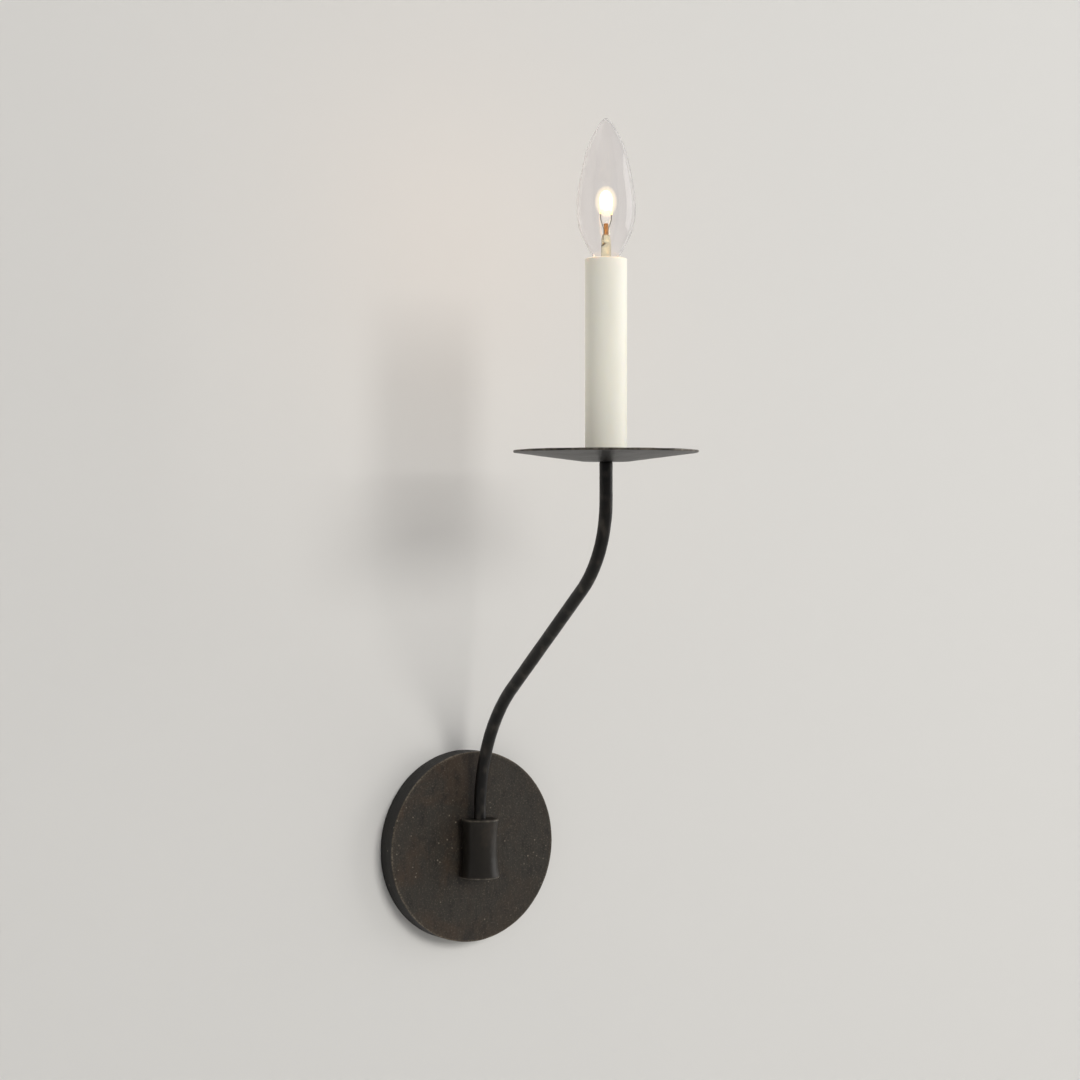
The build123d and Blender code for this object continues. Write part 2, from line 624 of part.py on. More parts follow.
def make_pan_nut():
    with BuildPart() as nut:
        with BuildSketch(level_plane(REACH, WASHER_TOP)):
            RegularPolygon(NUT_FLATS / 2, 6, major_radius=False)
            Circle(STUD_R + SLIP, mode=Mode.SUBTRACT)
        extrude(amount=NUT_HEIGHT)
    save(nut, "pan_nut")


def make_socket_bracket():
    """Foot clamped in the pan with a leg that rises behind the lampholder."""
    leg_outside = LEG_BACK + LEG_WALL
    with BuildPart() as bracket:
        with BuildSketch(level_plane(REACH, PAN_TOP)):
            with Locations((0, (leg_outside - FOOT_FRONT) / 2)):
                Rectangle(2 * LEG_HALF_WIDTH, leg_outside + FOOT_FRONT)
            Circle(STUD_R + SLIP, mode=Mode.SUBTRACT)
        extrude(amount=FOOT_WALL)
        with BuildSketch(level_plane(REACH, PAN_TOP)):
            with Locations((0, LEG_BACK + LEG_WALL / 2)):
                Rectangle(2 * LEG_HALF_WIDTH, LEG_WALL)
        extrude(amount=HOLDER_BOTTOM + LEG_OVERLAP - PAN_TOP)
        with BuildSketch(out_plane(REACH - leg_outside)):
            with Locations((0, HOLDER_BOTTOM + RIVET_RISE)):
                Circle(RIVET_R + SLIP)
        extrude(amount=LEG_WALL, mode=Mode.SUBTRACT)
    save(bracket, "socket_bracket")


def make_bracket_rivet():
    """Rivet through the leg into the lampholder."""
    head_seat = REACH - LEG_BACK - LEG_WALL
    with BuildPart() as rivet:
        with BuildSketch(out_plane(head_seat)):
            with Locations((0, HOLDER_BOTTOM + RIVET_RISE)):
                Circle(RIVET_HEAD_R)
        extrude(amount=-RIVET_HEAD)
        with BuildSketch(out_plane(head_seat)):
            with Locations((0, HOLDER_BOTTOM + RIVET_RISE)):
                Circle(RIVET_R)
        extrude(amount=LEG_WALL + RIVET_LENGTH)
    save(rivet, "bracket_rivet")


def make_candle_sleeve():
    """Plain tube that stands in the pan and hides the lampholder."""
    with BuildPart() as sleeve:
        with BuildSketch(level_plane(REACH, PAN_TOP)):
            Circle(SLEEVE_R)
            Circle(SLEEVE_BORE_R, mode=Mode.SUBTRACT)
        extrude(amount=SLEEVE_HEIGHT)
        fillet(sleeve.edges().group_by(Axis.Z)[-1], SLEEVE_EDGE)
    save(sleeve, "candle_sleeve")


# ==== lampholder =============================================================================
def make_lampholder():
    """Moulded body: bore for the screw shell above, pockets for the terminals below."""
    with BuildPart() as holder:
        with BuildSketch(level_plane(REACH, HOLDER_BOTTOM)):
            Circle(HOLDER_R)
        extrude(amount=HOLDER_HEIGHT)
        with BuildSketch(level_plane(REACH, HOLDER_TOP)):
            Circle(SOCKET_R + SLIP)
        extrude(amount=-HOLDER_BORE_DEPTH, mode=Mode.SUBTRACT)
        with BuildSketch(level_plane(REACH, HOLDER_BOTTOM)):
            with Locations((0, LEG_BACK - SLIP + HOLDER_R / 2)):
                Rectangle(2 * HOLDER_R, HOLDER_R)
        extrude(amount=LEG_OVERLAP + CLEAR, mode=Mode.SUBTRACT)
        with BuildSketch(level_plane(REACH, HOLDER_BOTTOM)):
            with GridLocations(2 * TERMINAL_X, 0, 2, 1):
                Rectangle(TERMINAL_SIZE + 2 * SLIP, TERMINAL_SIZE + 2 * SLIP)
        extrude(amount=TERMINAL_RECESS + TERMINAL_HEIGHT, mode=Mode.SUBTRACT)
        with BuildSketch(level_plane(REACH, TERMINAL_TOP)):
            with GridLocations(2 * TERMINAL_X, 0, 2, 1):
                Circle(POST_R + SLIP)
        extrude(amount=HOLDER_FLOOR - TERMINAL_TOP, mode=Mode.SUBTRACT)
        with BuildSketch(side_plane(-HOLDER_R)):
            with Locations((-REACH, (TERMINAL_BOTTOM + TERMINAL_TOP) / 2)):
                Circle(TERMINAL_SCREW_R + CLEAR)
        extrude(amount=HOLDER_R - TERMINAL_X, mode=Mode.SUBTRACT)
        with BuildSketch(side_plane(HOLDER_R)):
            with Locations((-REACH, (TERMINAL_BOTTOM + TERMINAL_TOP) / 2)):
                Circle(TERMINAL_SCREW_R + CLEAR)
        extrude(amount=TERMINAL_X - HOLDER_R, mode=Mode.SUBTRACT)
        with BuildSketch(out_plane(REACH - LEG_BACK)):
            with Locations((0, HOLDER_BOTTOM + RIVET_RISE)):
                Circle(RIVET_R + SLIP)
        extrude(amount=RIVET_LENGTH + SLIP, mode=Mode.SUBTRACT)
    save(holder, "lampholder")


def make_terminal(label, side, post_top):
    """Brass block with a lead hole below, a screw hole outside and a post on top."""
    with BuildPart() as terminal:
        with BuildSketch(level_plane(REACH, TERMINAL_BOTTOM)):
            with Locations((side * TERMINAL_X, 0)):
                Rectangle(TERMINAL_SIZE, TERMINAL_SIZE)
        extrude(amount=TERMINAL_HEIGHT)
        with BuildSketch(level_plane(REACH, TERMINAL_TOP)):
            with Locations((side * TERMINAL_X, 0)):
                Circle(POST_R)
        extrude(amount=post_top - TERMINAL_TOP)
        with BuildSketch(level_plane(REACH, TERMINAL_BOTTOM)):
            with Locations((side * TERMINAL_X, 0)):
                Circle(LEAD_R + SLIP)
        extrude(amount=LEAD_IN, mode=Mode.SUBTRACT)
        with BuildSketch(side_plane(side * TERMINAL_X)):
            with Locations((-REACH, (TERMINAL_BOTTOM + TERMINAL_TOP) / 2)):
                Circle(TERMINAL_SCREW_R + SLIP)
        extrude(amount=side * TERMINAL_SIZE, mode=Mode.SUBTRACT)
    save(terminal, label)


def make_terminal_screws():
    """One screw each side, from just inside the liner to the lead."""
    tip = TERMINAL_X + LEAD_R + SLIP
    with BuildPart() as screws:
        for side in (-1, 1):
            with BuildSketch(side_plane(side * tip)):
                with Locations((-REACH, (TERMINAL_BOTTOM + TERMINAL_TOP) / 2)):
                    Circle(TERMINAL_SCREW_R)
            extrude(amount=side * (HOLDER_R - CLEAR - tip))
    save(screws, "terminal_screws")


def make_socket_liner():
    """Thin fibre tube round the lampholder and its terminals."""
    bottom = HOLDER_BOTTOM - LINER_OVERLAP
    with BuildPart() as liner:
        with BuildSketch(level_plane(REACH, bottom)):
            Circle(HOLDER_R + SLIP + LINER_WALL)
            Circle(HOLDER_R + SLIP, mode=Mode.SUBTRACT)
        extrude(amount=HOLDER_TOP - bottom)
    save(liner, "socket_liner")


def make_socket_contact():
    """Spring leaf from its post to under the lamp's contact."""
    leaf = LEAF_WALL / 2
    low = HOLDER_FLOOR + leaf
    high = CONTACT_TIP - TIP_PLAY - leaf
    with BuildPart() as contact:
        with BuildSketch(axis_plane(REACH)):
            with BuildLine():
                Polyline((TERMINAL_X + POST_R, low), (TERMINAL_X - 2 * POST_R, low), (CONTACT_R, high),
                         (-CONTACT_R, high), (-TERMINAL_X + 2 * POST_R, low + LEAF_WALL))
            trace(line_width=LEAF_WALL)
        extrude(amount=LEAF_HALF_WIDTH, both=True)
    save(contact, "socket_contact")


# ==== lamp thread ============================================================================
def thread_rod(start, turns, rod_r):
    """Round rod wound on the helix that the ridge and the groove share."""
    with BuildPart() as rod:
        with BuildLine() as route:
            Helix(PITCH, turns * PITCH, THREAD_CENTRE_R, center=(0, -REACH, start))
        with BuildSketch(Plane(origin=route.line @ 0, z_dir=route.line % 0)):
            Circle(rod_r)
        sweep(path=route.wires()[0], is_frenet=True)
    return rod.part


def make_bulb_shell():
    """Thin screw shell with a round ridge wound on it."""
    ridge = thread_rod(BASE_BOTTOM + RIDGE_START, RIDGE_TURNS, RIDGE_R)
    with BuildPart() as shell:
        with BuildSketch(level_plane(REACH, BASE_BOTTOM)):
            Circle(SHELL_CORE_R)
        extrude(amount=SHELL_LENGTH)
        add(ridge)
        with BuildSketch(level_plane(REACH, BASE_BOTTOM)):
            Circle(SHELL_CORE_R - SHELL_WALL)
        extrude(amount=SHELL_LENGTH, mode=Mode.SUBTRACT)
    save(shell, "bulb_shell")


def make_socket_shell():
    """Screw shell of the lampholder, its bore grooved in step with the lamp's ridge."""
    turns_below = ceil((BASE_BOTTOM + RIDGE_START - SOCKET_BOTTOM + GROOVE_R) / PITCH)
    groove_start = BASE_BOTTOM + RIDGE_START - turns_below * PITCH
    groove_turns = ceil((SOCKET_TOP + GROOVE_R - groove_start) / PITCH)
    with BuildPart() as shell:
        with BuildSketch(level_plane(REACH, SOCKET_BOTTOM)):
            Circle(SOCKET_R)
            Circle(SOCKET_BORE_R, mode=Mode.SUBTRACT)
        extrude(amount=SOCKET_LENGTH)
        for turn in range(groove_turns):
            add(thread_rod(groove_start + turn * PITCH, 1, GROOVE_R), mode=Mode.SUBTRACT)
    save(shell, "socket_shell")


# ==== lamp ===================================================================================
def make_bulb_insulator():
    """Cone that carries the centre contact, with a plug up inside the shell."""
    inside = SHELL_CORE_R - SHELL_WALL - SLIP
    with BuildPart() as insulator:
        with BuildSketch(axis_plane(REACH)):
            with BuildLine():
                Polyline((0, INSULATOR_BOTTOM), (INSULATOR_END_R, INSULATOR_BOTTOM),
                         (SHELL_CORE_R, BASE_BOTTOM), (inside, BASE_BOTTOM),
                         (inside, BASE_BOTTOM + RIDGE_START), (0, BASE_BOTTOM + RIDGE_START), close=True)
            make_face()
        revolve(axis=upright_axis(REACH))
    save(insulator, "bulb_insulator")


def make_bulb_contact():
    """Solder-domed centre contact."""
    with BuildPart() as contact:
        with BuildSketch(level_plane(REACH, CONTACT_TIP)):
            Circle(CONTACT_R)
        extrude(amount=CONTACT_HEIGHT)
        fillet(contact.edges().sort_by(Axis.Z)[0], CONTACT_EDGE)
    save(contact, "bulb_contact")


def glass_inset(curve, steps):
    """Points along a stretch of the outline, moved in by the thickness of the glass."""
    shares = [step / OUTLINE_STEPS for step in steps]
    return [curve @ share + (curve % share).rotate(Axis.Z, 90) * GLASS_WALL for share in shares]


def make_bulb_glass():
    """Candle-shaped envelope: two smooth stretches that meet upright at the belly, hollow inside."""
    neck_bottom = BASE_TOP - GLASS_NECK
    belly = (GLASS_R, GLASS_BELLY)
    upright, inward = (0, 1), (-1, 0)
    with BuildPart() as glass:
        with BuildSketch(axis_plane(REACH)):
            with BuildLine():
                lower = Spline((GLASS_NECK_R, BASE_TOP), *LOWER_POINTS, belly,
                               tangents=(GLASS_SPREAD, upright))
                upper = Spline(belly, *UPPER_POINTS, (0, GLASS_TIP), tangents=(upright, inward))
                Polyline(upper @ 1, (0, neck_bottom), (GLASS_NECK_R, neck_bottom), lower @ 0)
            make_face()
        revolve(axis=upright_axis(REACH))
        with BuildSketch(axis_plane(REACH)):
            with BuildLine():
                below = Spline(*glass_inset(lower, range(1, OUTLINE_STEPS + 1)))
                above = Spline(*glass_inset(upper, range(OUTLINE_STEPS)),
                               (0, GLASS_TIP - GLASS_TIP_WALL), tangents=(upright, inward))
                Polyline(above @ 1, (0, neck_bottom), (GLASS_NECK_BORE_R, neck_bottom),
                         (GLASS_NECK_BORE_R, BASE_TOP), below @ 0)
            make_face()
        revolve(axis=upright_axis(REACH), mode=Mode.SUBTRACT)
    save(glass, "bulb_glass")


def make_bulb_stem():
    """Glass stem: flared foot in the neck, tube, a press that holds the wires, and a button rod."""
    bottom = BASE_TOP - GLASS_NECK
    foot_r = GLASS_NECK_BORE_R - SLIP
    with BuildPart() as stem:
        with BuildSketch(axis_plane(REACH)):
            with BuildLine():
                Polyline((STEM_R, bottom + STEM_FLARE), (STEM_R, STEM_TOP - STEM_R), (STEM_END_R, STEM_TOP),
                         (STEM_ROD_R, STEM_TOP), (STEM_ROD_R, STEM_TOP + STEM_ROD),
                         (0, STEM_TOP + STEM_ROD), (0, bottom), (foot_r, bottom),
                         (foot_r, bottom + GLASS_WALL), close=True)
            make_face()
        revolve(axis=upright_axis(REACH))
    save(stem, "bulb_stem")


def make_filament():
    """Horseshoe of coiled wire on two supports that spread from the top of the stem."""
    arch_foot = FILAMENT_TOP - FILAMENT_HALF
    with BuildPart() as supports:
        for side in (-1, 1):
            near, far = side * SUPPORT_SPREAD, side * FILAMENT_HALF
            with BuildLine() as route:
                FilletPolyline((near, -REACH, STEM_TOP), (near, -REACH, STEM_TOP + SUPPORT_RISE),
                               (far, -REACH, FILAMENT_BOTTOM - SUPPORT_RISE), (far, -REACH, FILAMENT_BOTTOM),
                               radius=SUPPORT_RISE / 2)
            with BuildSketch(level_plane(REACH, STEM_TOP)):
                with Locations((near, 0)):
                    Circle(SUPPORT_R)
            sweep(path=route.wires()[0])
    save(supports, "filament_supports")
    with BuildPart() as filament:
        with BuildLine(Plane.XZ.offset(REACH)) as route:
            Line((-FILAMENT_HALF, FILAMENT_BOTTOM), (-FILAMENT_HALF, arch_foot))
            ThreePointArc((-FILAMENT_HALF, arch_foot), (0, FILAMENT_TOP), (FILAMENT_HALF, arch_foot))
            Line((FILAMENT_HALF, arch_foot), (FILAMENT_HALF, FILAMENT_BOTTOM))
        with BuildSketch(level_plane(REACH, FILAMENT_BOTTOM)):
            with Locations((-FILAMENT_HALF, 0)):
                Circle(FILAMENT_R)
        sweep(path=route.wires()[0])
    save(filament, "filament")


make_wall_plate()
make_boss()
make_wire_bushing()
make_plate_fasteners()
make_mounting_strap()
make_ground_lug()
make_terminal_block()
make_terminal_barrels()
make_clamp_screws()
make_arm()
make_leads()
make_pan()
make_lock_washer()
make_pan_nut()
make_socket_bracket()
make_bracket_rivet()
make_lampholder()
make_terminal("shell_terminal", -1, SOCKET_BOTTOM)
make_terminal("contact_terminal", 1, HOLDER_FLOOR)
make_terminal_screws()
make_socket_liner()
make_socket_shell()
make_socket_contact()
make_candle_sleeve()
make_bulb_shell()
make_bulb_insulator()
make_bulb_contact()
make_bulb_glass()
make_bulb_stem()
make_filament()
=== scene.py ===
"""Forged wall sconce with an electric candle, built around its packed frame.

Metres, with Z up. The wall is Y = 0, the room is towards -Y, and the plate's middle is the origin.
"""

import math

import bmesh
import bpy
import numpy as np
from bpy.props import FloatProperty, FloatVectorProperty, IntProperty, PointerProperty
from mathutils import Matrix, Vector


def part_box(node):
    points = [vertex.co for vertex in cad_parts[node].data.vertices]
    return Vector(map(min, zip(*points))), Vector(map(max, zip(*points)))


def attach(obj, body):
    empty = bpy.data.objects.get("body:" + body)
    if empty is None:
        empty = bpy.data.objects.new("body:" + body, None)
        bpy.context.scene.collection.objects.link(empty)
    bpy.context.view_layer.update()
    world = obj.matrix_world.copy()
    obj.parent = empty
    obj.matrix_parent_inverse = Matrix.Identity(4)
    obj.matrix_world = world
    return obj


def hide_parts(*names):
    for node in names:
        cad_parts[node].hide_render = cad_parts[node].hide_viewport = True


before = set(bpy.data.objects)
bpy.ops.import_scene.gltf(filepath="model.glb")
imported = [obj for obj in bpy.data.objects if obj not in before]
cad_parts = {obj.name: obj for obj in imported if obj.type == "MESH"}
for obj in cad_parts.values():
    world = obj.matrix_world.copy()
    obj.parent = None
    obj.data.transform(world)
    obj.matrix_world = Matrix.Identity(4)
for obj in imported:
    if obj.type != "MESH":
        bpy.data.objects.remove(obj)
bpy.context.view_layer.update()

bl_info = {
    "name": "Wall Sconce",
    "version": (1, 0, 0),
    "blender": (4, 5, 0),
    "location": "View3D > Sidebar > Sconce",
    "description": "Forged wall sconce with a drip pan and an electric candle",
    "category": "Add Mesh",
}

TAU = 2 * math.pi


def edges_of(node):
    """Lowest and highest corner of a packed node as two arrays."""
    low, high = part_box(node)
    return np.array(low), np.array(high)


# ---- places that come from the frame ---------------------------------------------------------
PLATE_LOW, PLATE_HIGH = edges_of("wall_plate")
BOSS_HIGH = edges_of("boss")[1]
ARM_LOW, ARM_HIGH = edges_of("arm")
PAN_LOW, PAN_HIGH = edges_of("pan")
SLEEVE_LOW, SLEEVE_HIGH = edges_of("candle_sleeve")
SHELL_HIGH = edges_of("bulb_shell")[1]
GLASS_HIGH = edges_of("bulb_glass")[1]
STEM_LOW, STEM_HIGH = edges_of("bulb_stem")
FILAMENT_LOW, FILAMENT_HIGH = edges_of("filament")
SUPPORT_LOW, SUPPORT_HIGH = edges_of("filament_supports")

PLATE_R = PLATE_HIGH[0]
PLATE_OUT = -PLATE_LOW[1]
BOSS_HALF = BOSS_HIGH[2]
ARM_R = ARM_HIGH[0]
ARM_OUT = -ARM_HIGH[1] + ARM_R
REACH = -ARM_LOW[1] - ARM_R

# A closed end starts this far from its axis, so that its first ring has a width.
NEAR_AXIS = 0.0002


# ---- settings --------------------------------------------------------------------------------
def length(name, description, default):
    return FloatProperty(name=name, description=description, default=default, min=0.0,
                         subtype="DISTANCE", unit="LENGTH", precision=5)


def colour(name, description, default):
    return FloatVectorProperty(name=name, description=description, default=default, min=0.0, max=1.0,
                               size=3, subtype="COLOR")


def power(name, description, default):
    return FloatProperty(name=name, description=description, default=default, min=0.0,
                         subtype="POWER", unit="POWER")


def strength(name, description, default):
    return FloatProperty(name=name, description=description, default=default, min=0.0)


def count(name, description, default):
    return IntProperty(name=name, description=description, default=default, min=3)


class SconcePlateSettings(bpy.types.PropertyGroup):
    """Round cup-shaped wall plate."""

    front: length("Front thickness", "Thickness of the plate's front", 0.0025)
    rim: length("Rim thickness", "Thickness of the plate's rim", 0.002)
    edge: length("Edge rounding", "Radius of the worn front edge", 0.0009)
    dents: length("Hammering", "Depth of the shallow hammer marks on the front", 0.00022)
    screw_head: length("Screw heads", "Head radius of the boss screws", 0.00275)
    screw_hole: length("Screw holes", "Radius of the holes for the boss screws", 0.0016)
    grub_hole: length("Set screw hole", "Radius of the hole for the arm's set screw", 0.0023)
    bush_flange: length("Bushing flange", "How far the bushing's flange laps over its hole", 0.00095)
    iron: colour("Iron", "Dark ground of the plate", (0.0290, 0.0250, 0.0195))
    soot: colour("Soot", "Dark mottling of the plate", (0.0080, 0.0070, 0.0060))
    stain: colour("Stain", "Brown stain that clouds the plate", (0.046, 0.030, 0.019))
    # Painted shade: the rim's side gets a darker colour to stand for the shade it lies in.
    rim_shade_iron: colour("Rim iron", "Dark ground of the plate's rim", (0.0045, 0.0040, 0.0034))
    grain: colour("Grain", "Fine light grain over the plate", (0.130, 0.108, 0.080))
    # Bare iron along the front edge, made light enough to serve also as a painted highlight there.
    worn: colour("Worn edge", "Bare iron along the front edge", (0.30, 0.25, 0.19))


class SconceIronSettings(bpy.types.PropertyGroup):
    """Boss, arm and drip pan."""

    boss_top: length("Boss top radius", "Radius of the spool at its top", 0.0114)
    boss_waist: length("Boss waist radius", "Radius of the spool at half its height", 0.0103)
    boss_foot: length("Boss foot radius", "Radius of the spool at its bottom", 0.0121)
    boss_lip: length("Boss lip", "Rounding of the spool's ends", 0.0010)
    socket_play: length("Socket play", "Play of the arm in the boss", 0.00012)
    socket_mouth: length("Socket mouth", "Countersink of the boss's hole", 0.0005)
    lean: FloatProperty(name="Arm lean", description="Slope of the arm's straight run from upright",
                        default=math.radians(50), subtype="ANGLE")
    lower_bend: length("Lower bend", "Centreline radius of the arm's lower bend", 0.098)
    upper_bend: length("Upper bend", "Centreline radius of the arm's upper bend", 0.066)
    bend_start: length("Bend start", "Height at which the lower bend starts", 0.0225)
    bore: length("Arm bore", "Radius of the hole for the wires", 0.0023)
    wall_end_edge: length("Wall end's edge", "How far the edge of the arm's first end is taken off", 0.0003)
    stud_end_edge: length("Stud end's edge", "How far the edge below the stud is taken off", 0.00025)
    stud: length("Stud radius", "Radius of the arm's end above the pan", 0.003)
    stud_play: length("Stud play", "Play of the stud in the pan's hole", 0.00005)
    pan_wall: length("Pan thickness", "Thickness of the drip pan", 0.0014)
    pan_hub: length("Pan hub", "Radius of the pan's flat middle", 0.013)
    pan_edge: length("Pan edge", "Rounding of the pan's rim", 0.0005)
    black: colour("Black", "Blackened iron", (0.0036, 0.0031, 0.0027))
    brown: colour("Brown", "Where the blacking is thin", (0.0140, 0.0105, 0.0078))
    boss_black: colour("Boss iron", "Iron of the boss, whose blacking is rubbed", (0.0170, 0.0145, 0.0115))
    boss_brown: colour("Boss brown", "Brown clouds on the boss", (0.0400, 0.0300, 0.0215))
    # On the boss's lips this is also a painted highlight.
    worn: colour("Worn edge", "Rubbed iron along lips and edges", (0.20, 0.175, 0.14))


class SconceCandleSettings(bpy.types.PropertyGroup):
    """Candle sleeve."""

    wall: length("Sleeve thickness", "Thickness of the candle sleeve", 0.00115)
    lip: length("Lip rounding", "Rounding of the sleeve's top", 0.00045)
    ivory: colour("Ivory", "Sleeve colour", (0.84, 0.82, 0.74))
    shade: colour("Aged ivory", "Clouding of the sleeve colour", (0.80, 0.775, 0.68))
    # Painted glow: an even emission over the sleeve that stands in for the lamp's light through its wall and
    # lifts its shaded side.
    glow: strength("Lamp's share", "Light that the lamp sends through the sleeve's wall", 0.14)


class SconceLampSettings(bpy.types.PropertyGroup):
    """Candle-shaped lamp."""

    glass_wall: length("Glass thickness", "Thickness of the envelope", 0.0007)
    tip_wall: length("Tip thickness", "Thickness of the glass at the tip", 0.0008)
    neck: length("Neck", "Length of the glass neck in the shell", 0.007)
    neck_radius: length("Neck radius", "Radius of the glass neck", 0.0046)
    wire: length("Filament wire", "Radius of the wire that is wound into the filament", 0.00011)
    turns: count("Filament turns", "Turns of the wound filament", 72)
    heat: strength("Filament light", "Strength of the filament's own light", 3.0)
    glow: colour("Filament colour", "Colour of the filament's hottest turns", (1.0, 0.72, 0.36))
    tint: colour("Glass tint", "Tint of the clear glass", (0.990, 0.980, 0.985))
    stem: length("Stem", "Radius of the stem's tube", 0.0027)
    stem_tip: length("Stem tip", "Radius of the stem's top", 0.0020)
    rod: length("Button rod", "Length of the glass rod above the stem's press", 0.0061)
    rod_radius: length("Button rod radius", "Radius of the glass rod", 0.00105)
    spread: length("Support spread", "Distance of each support wire from the lamp's axis at the stem", 0.0015)
    cream: colour("Stem tint", "Tint of the stem's glass", (0.95, 0.90, 0.68))
    amber: colour("Rod tint", "Tint of the button rod's glass", (0.55, 0.24, 0.05))


class SconceStageSettings(bpy.types.PropertyGroup):
    """Wall, floor, lights and camera."""

    wall: colour("Wall", "Plain pale wall", (0.74, 0.73, 0.705))
    floor: colour("Floor", "Plain pale floor", (0.72, 0.71, 0.69))
    drop: length("Floor depth", "Floor below the middle of the plate", 1.05)
    side: power("Side light", "Power of the large box on the right", 24.0)
    front: power("Front light", "Power of the box in front", 56.0)
    back: power("Back light", "Power of the box behind the wall, for the plate's inside", 45.0)
    lamp: power("Lamp light", "Power that the lamp gives the room", 0.10)
    room: strength("Room light", "Brightness of the pale room", 0.28)


SETTINGS = {
    "sconce_plate": SconcePlateSettings,
    "sconce_iron": SconceIronSettings,
    "sconce_candle": SconceCandleSettings,
    "sconce_lamp": SconceLampSettings,
    "sconce_stage": SconceStageSettings,
}


# ---- surfaces --------------------------------------------------------------------------------
def rounded_line(corners, radii, spacing):
    """Line through corners with each one turned into an arc, split into steps of about the spacing.

    An arc of radius r through a turn t starts r tan(t/2) before its corner and follows
    start + r sin(a) along + r (1 - cos(a)) inward for a from 0 to t.
    """
    corners = np.asarray(corners, float)
    stretches, start = [], corners[0]
    for before, corner, after, radius in zip(corners, corners[1:], corners[2:], radii):
        along, leaving = unit(corner - before), unit(after - corner)
        inward = leaving - along * (along @ leaving)
        turn = math.acos(np.clip(along @ leaving, -1, 1))
        if radius <= 0 or turn < 1e-6:
            stretches.append(split(start, corner, spacing)[:-1])
            start = corner
            continue
        begin = corner - along * radius * math.tan(turn / 2)
        steps = max(3, math.ceil(turn / math.radians(14)))
        angle = np.linspace(0, turn, steps + 1)[:, None]
        arc = begin + radius * (np.sin(angle) * along + (1 - np.cos(angle)) * unit(inward))
        stretches += [split(start, begin, spacing)[:-1], arc[:-1]]
        start = arc[-1]
    stretches.append(split(start, corners[-1], spacing))
    return np.vstack(stretches)


def unit(vector):
    return vector / np.linalg.norm(vector)


def unit_rows(vectors):
    return vectors / np.linalg.norm(vectors, axis=1, keepdims=True)


def split(start, end, spacing):
    """Evenly spaced points from start to end, both kept."""
    steps = max(1, math.ceil(np.linalg.norm(end - start) / spacing))
    return start + np.linspace(0, 1, steps + 1)[:, None] * (end - start)


def ripple(points, wavelength, seed, waves=20):
    """Smooth unevenness from 0 to 1: a sum of plane waves of about that length in seeded directions.

    The sum is pushed through a hyperbolic tangent, which keeps it within its limits.
    """
    draw = np.random.default_rng(seed)
    directions = draw.normal(size=(waves, 3))
    lengths = wavelength * draw.uniform(0.7, 1.5, waves)
    directions *= (TAU / lengths / np.linalg.norm(directions, axis=1))[:, None]
    total = np.cos(points @ directions.T + draw.uniform(0, TAU, waves)).sum(-1)
    return 0.5 + 0.5 * np.tanh(total / math.sqrt(waves) * 1.3)


def outward(line):
    """Unit normals of an outline that runs down the outside and back up the inside."""
    along = np.gradient(line, axis=0)
    normal = np.stack([-along[:, 1], along[:, 0]], axis=1)
    return normal / np.maximum(np.linalg.norm(normal, axis=1, keepdims=True), 1e-12)


def turned(line, steps, upright=True, dent=None):
    """Outline of (radius, distance along the axis) turned round the axis.

    A point is (r cos a, r sin a) round the axis. dent gives a depth for each point of the grid, and
    each point moves in by it along the outline's own normal.
    """
    angle = np.linspace(0, TAU, steps, endpoint=False)

    def placed(radius, distance):
        across, beside = radius * np.cos(angle), radius * np.sin(angle)
        if upright:
            return np.stack([across, beside - REACH, distance + 0 * angle], axis=-1)
        return np.stack([across, -distance + 0 * angle, beside], axis=-1)

    radius, distance = line[:, :1], line[:, 1:]
    points = placed(radius, distance)
    if dent is None:
        return points
    depth = dent(points)
    normal = outward(line)
    return placed(radius - depth * normal[:, :1], distance - depth * normal[:, 1:])


def carried(centres, sides, others, radii, steps):
    """Ring round each centre: centre + r (cos a side + sin a other)."""
    angle = np.linspace(0, TAU, steps, endpoint=False)[None, :, None]
    rings = np.cos(angle) * sides[:, None, :] + np.sin(angle) * others[:, None, :]
    return centres[:, None, :] + np.asarray(radii)[..., None] * rings


def closed_ends(grid):
    """The grid with a row at each end that holds only that end's middle, so both ends close in a point."""
    first, last = grid[:1].mean(axis=1, keepdims=True), grid[-1:].mean(axis=1, keepdims=True)
    width = grid.shape[1]
    return np.concatenate([np.repeat(first, width, axis=1), grid, np.repeat(last, width, axis=1)])


def volume_of(points, corners):
    """Signed volume inside quads: a sixth of the sum of each triangle's triple product."""
    p = points[corners]
    halves = [np.einsum("ij,ij->i", p[:, 0], np.cross(p[:, a], p[:, b])) for a, b in ((1, 2), (2, 3))]
    return sum(half.sum() for half in halves) / 6


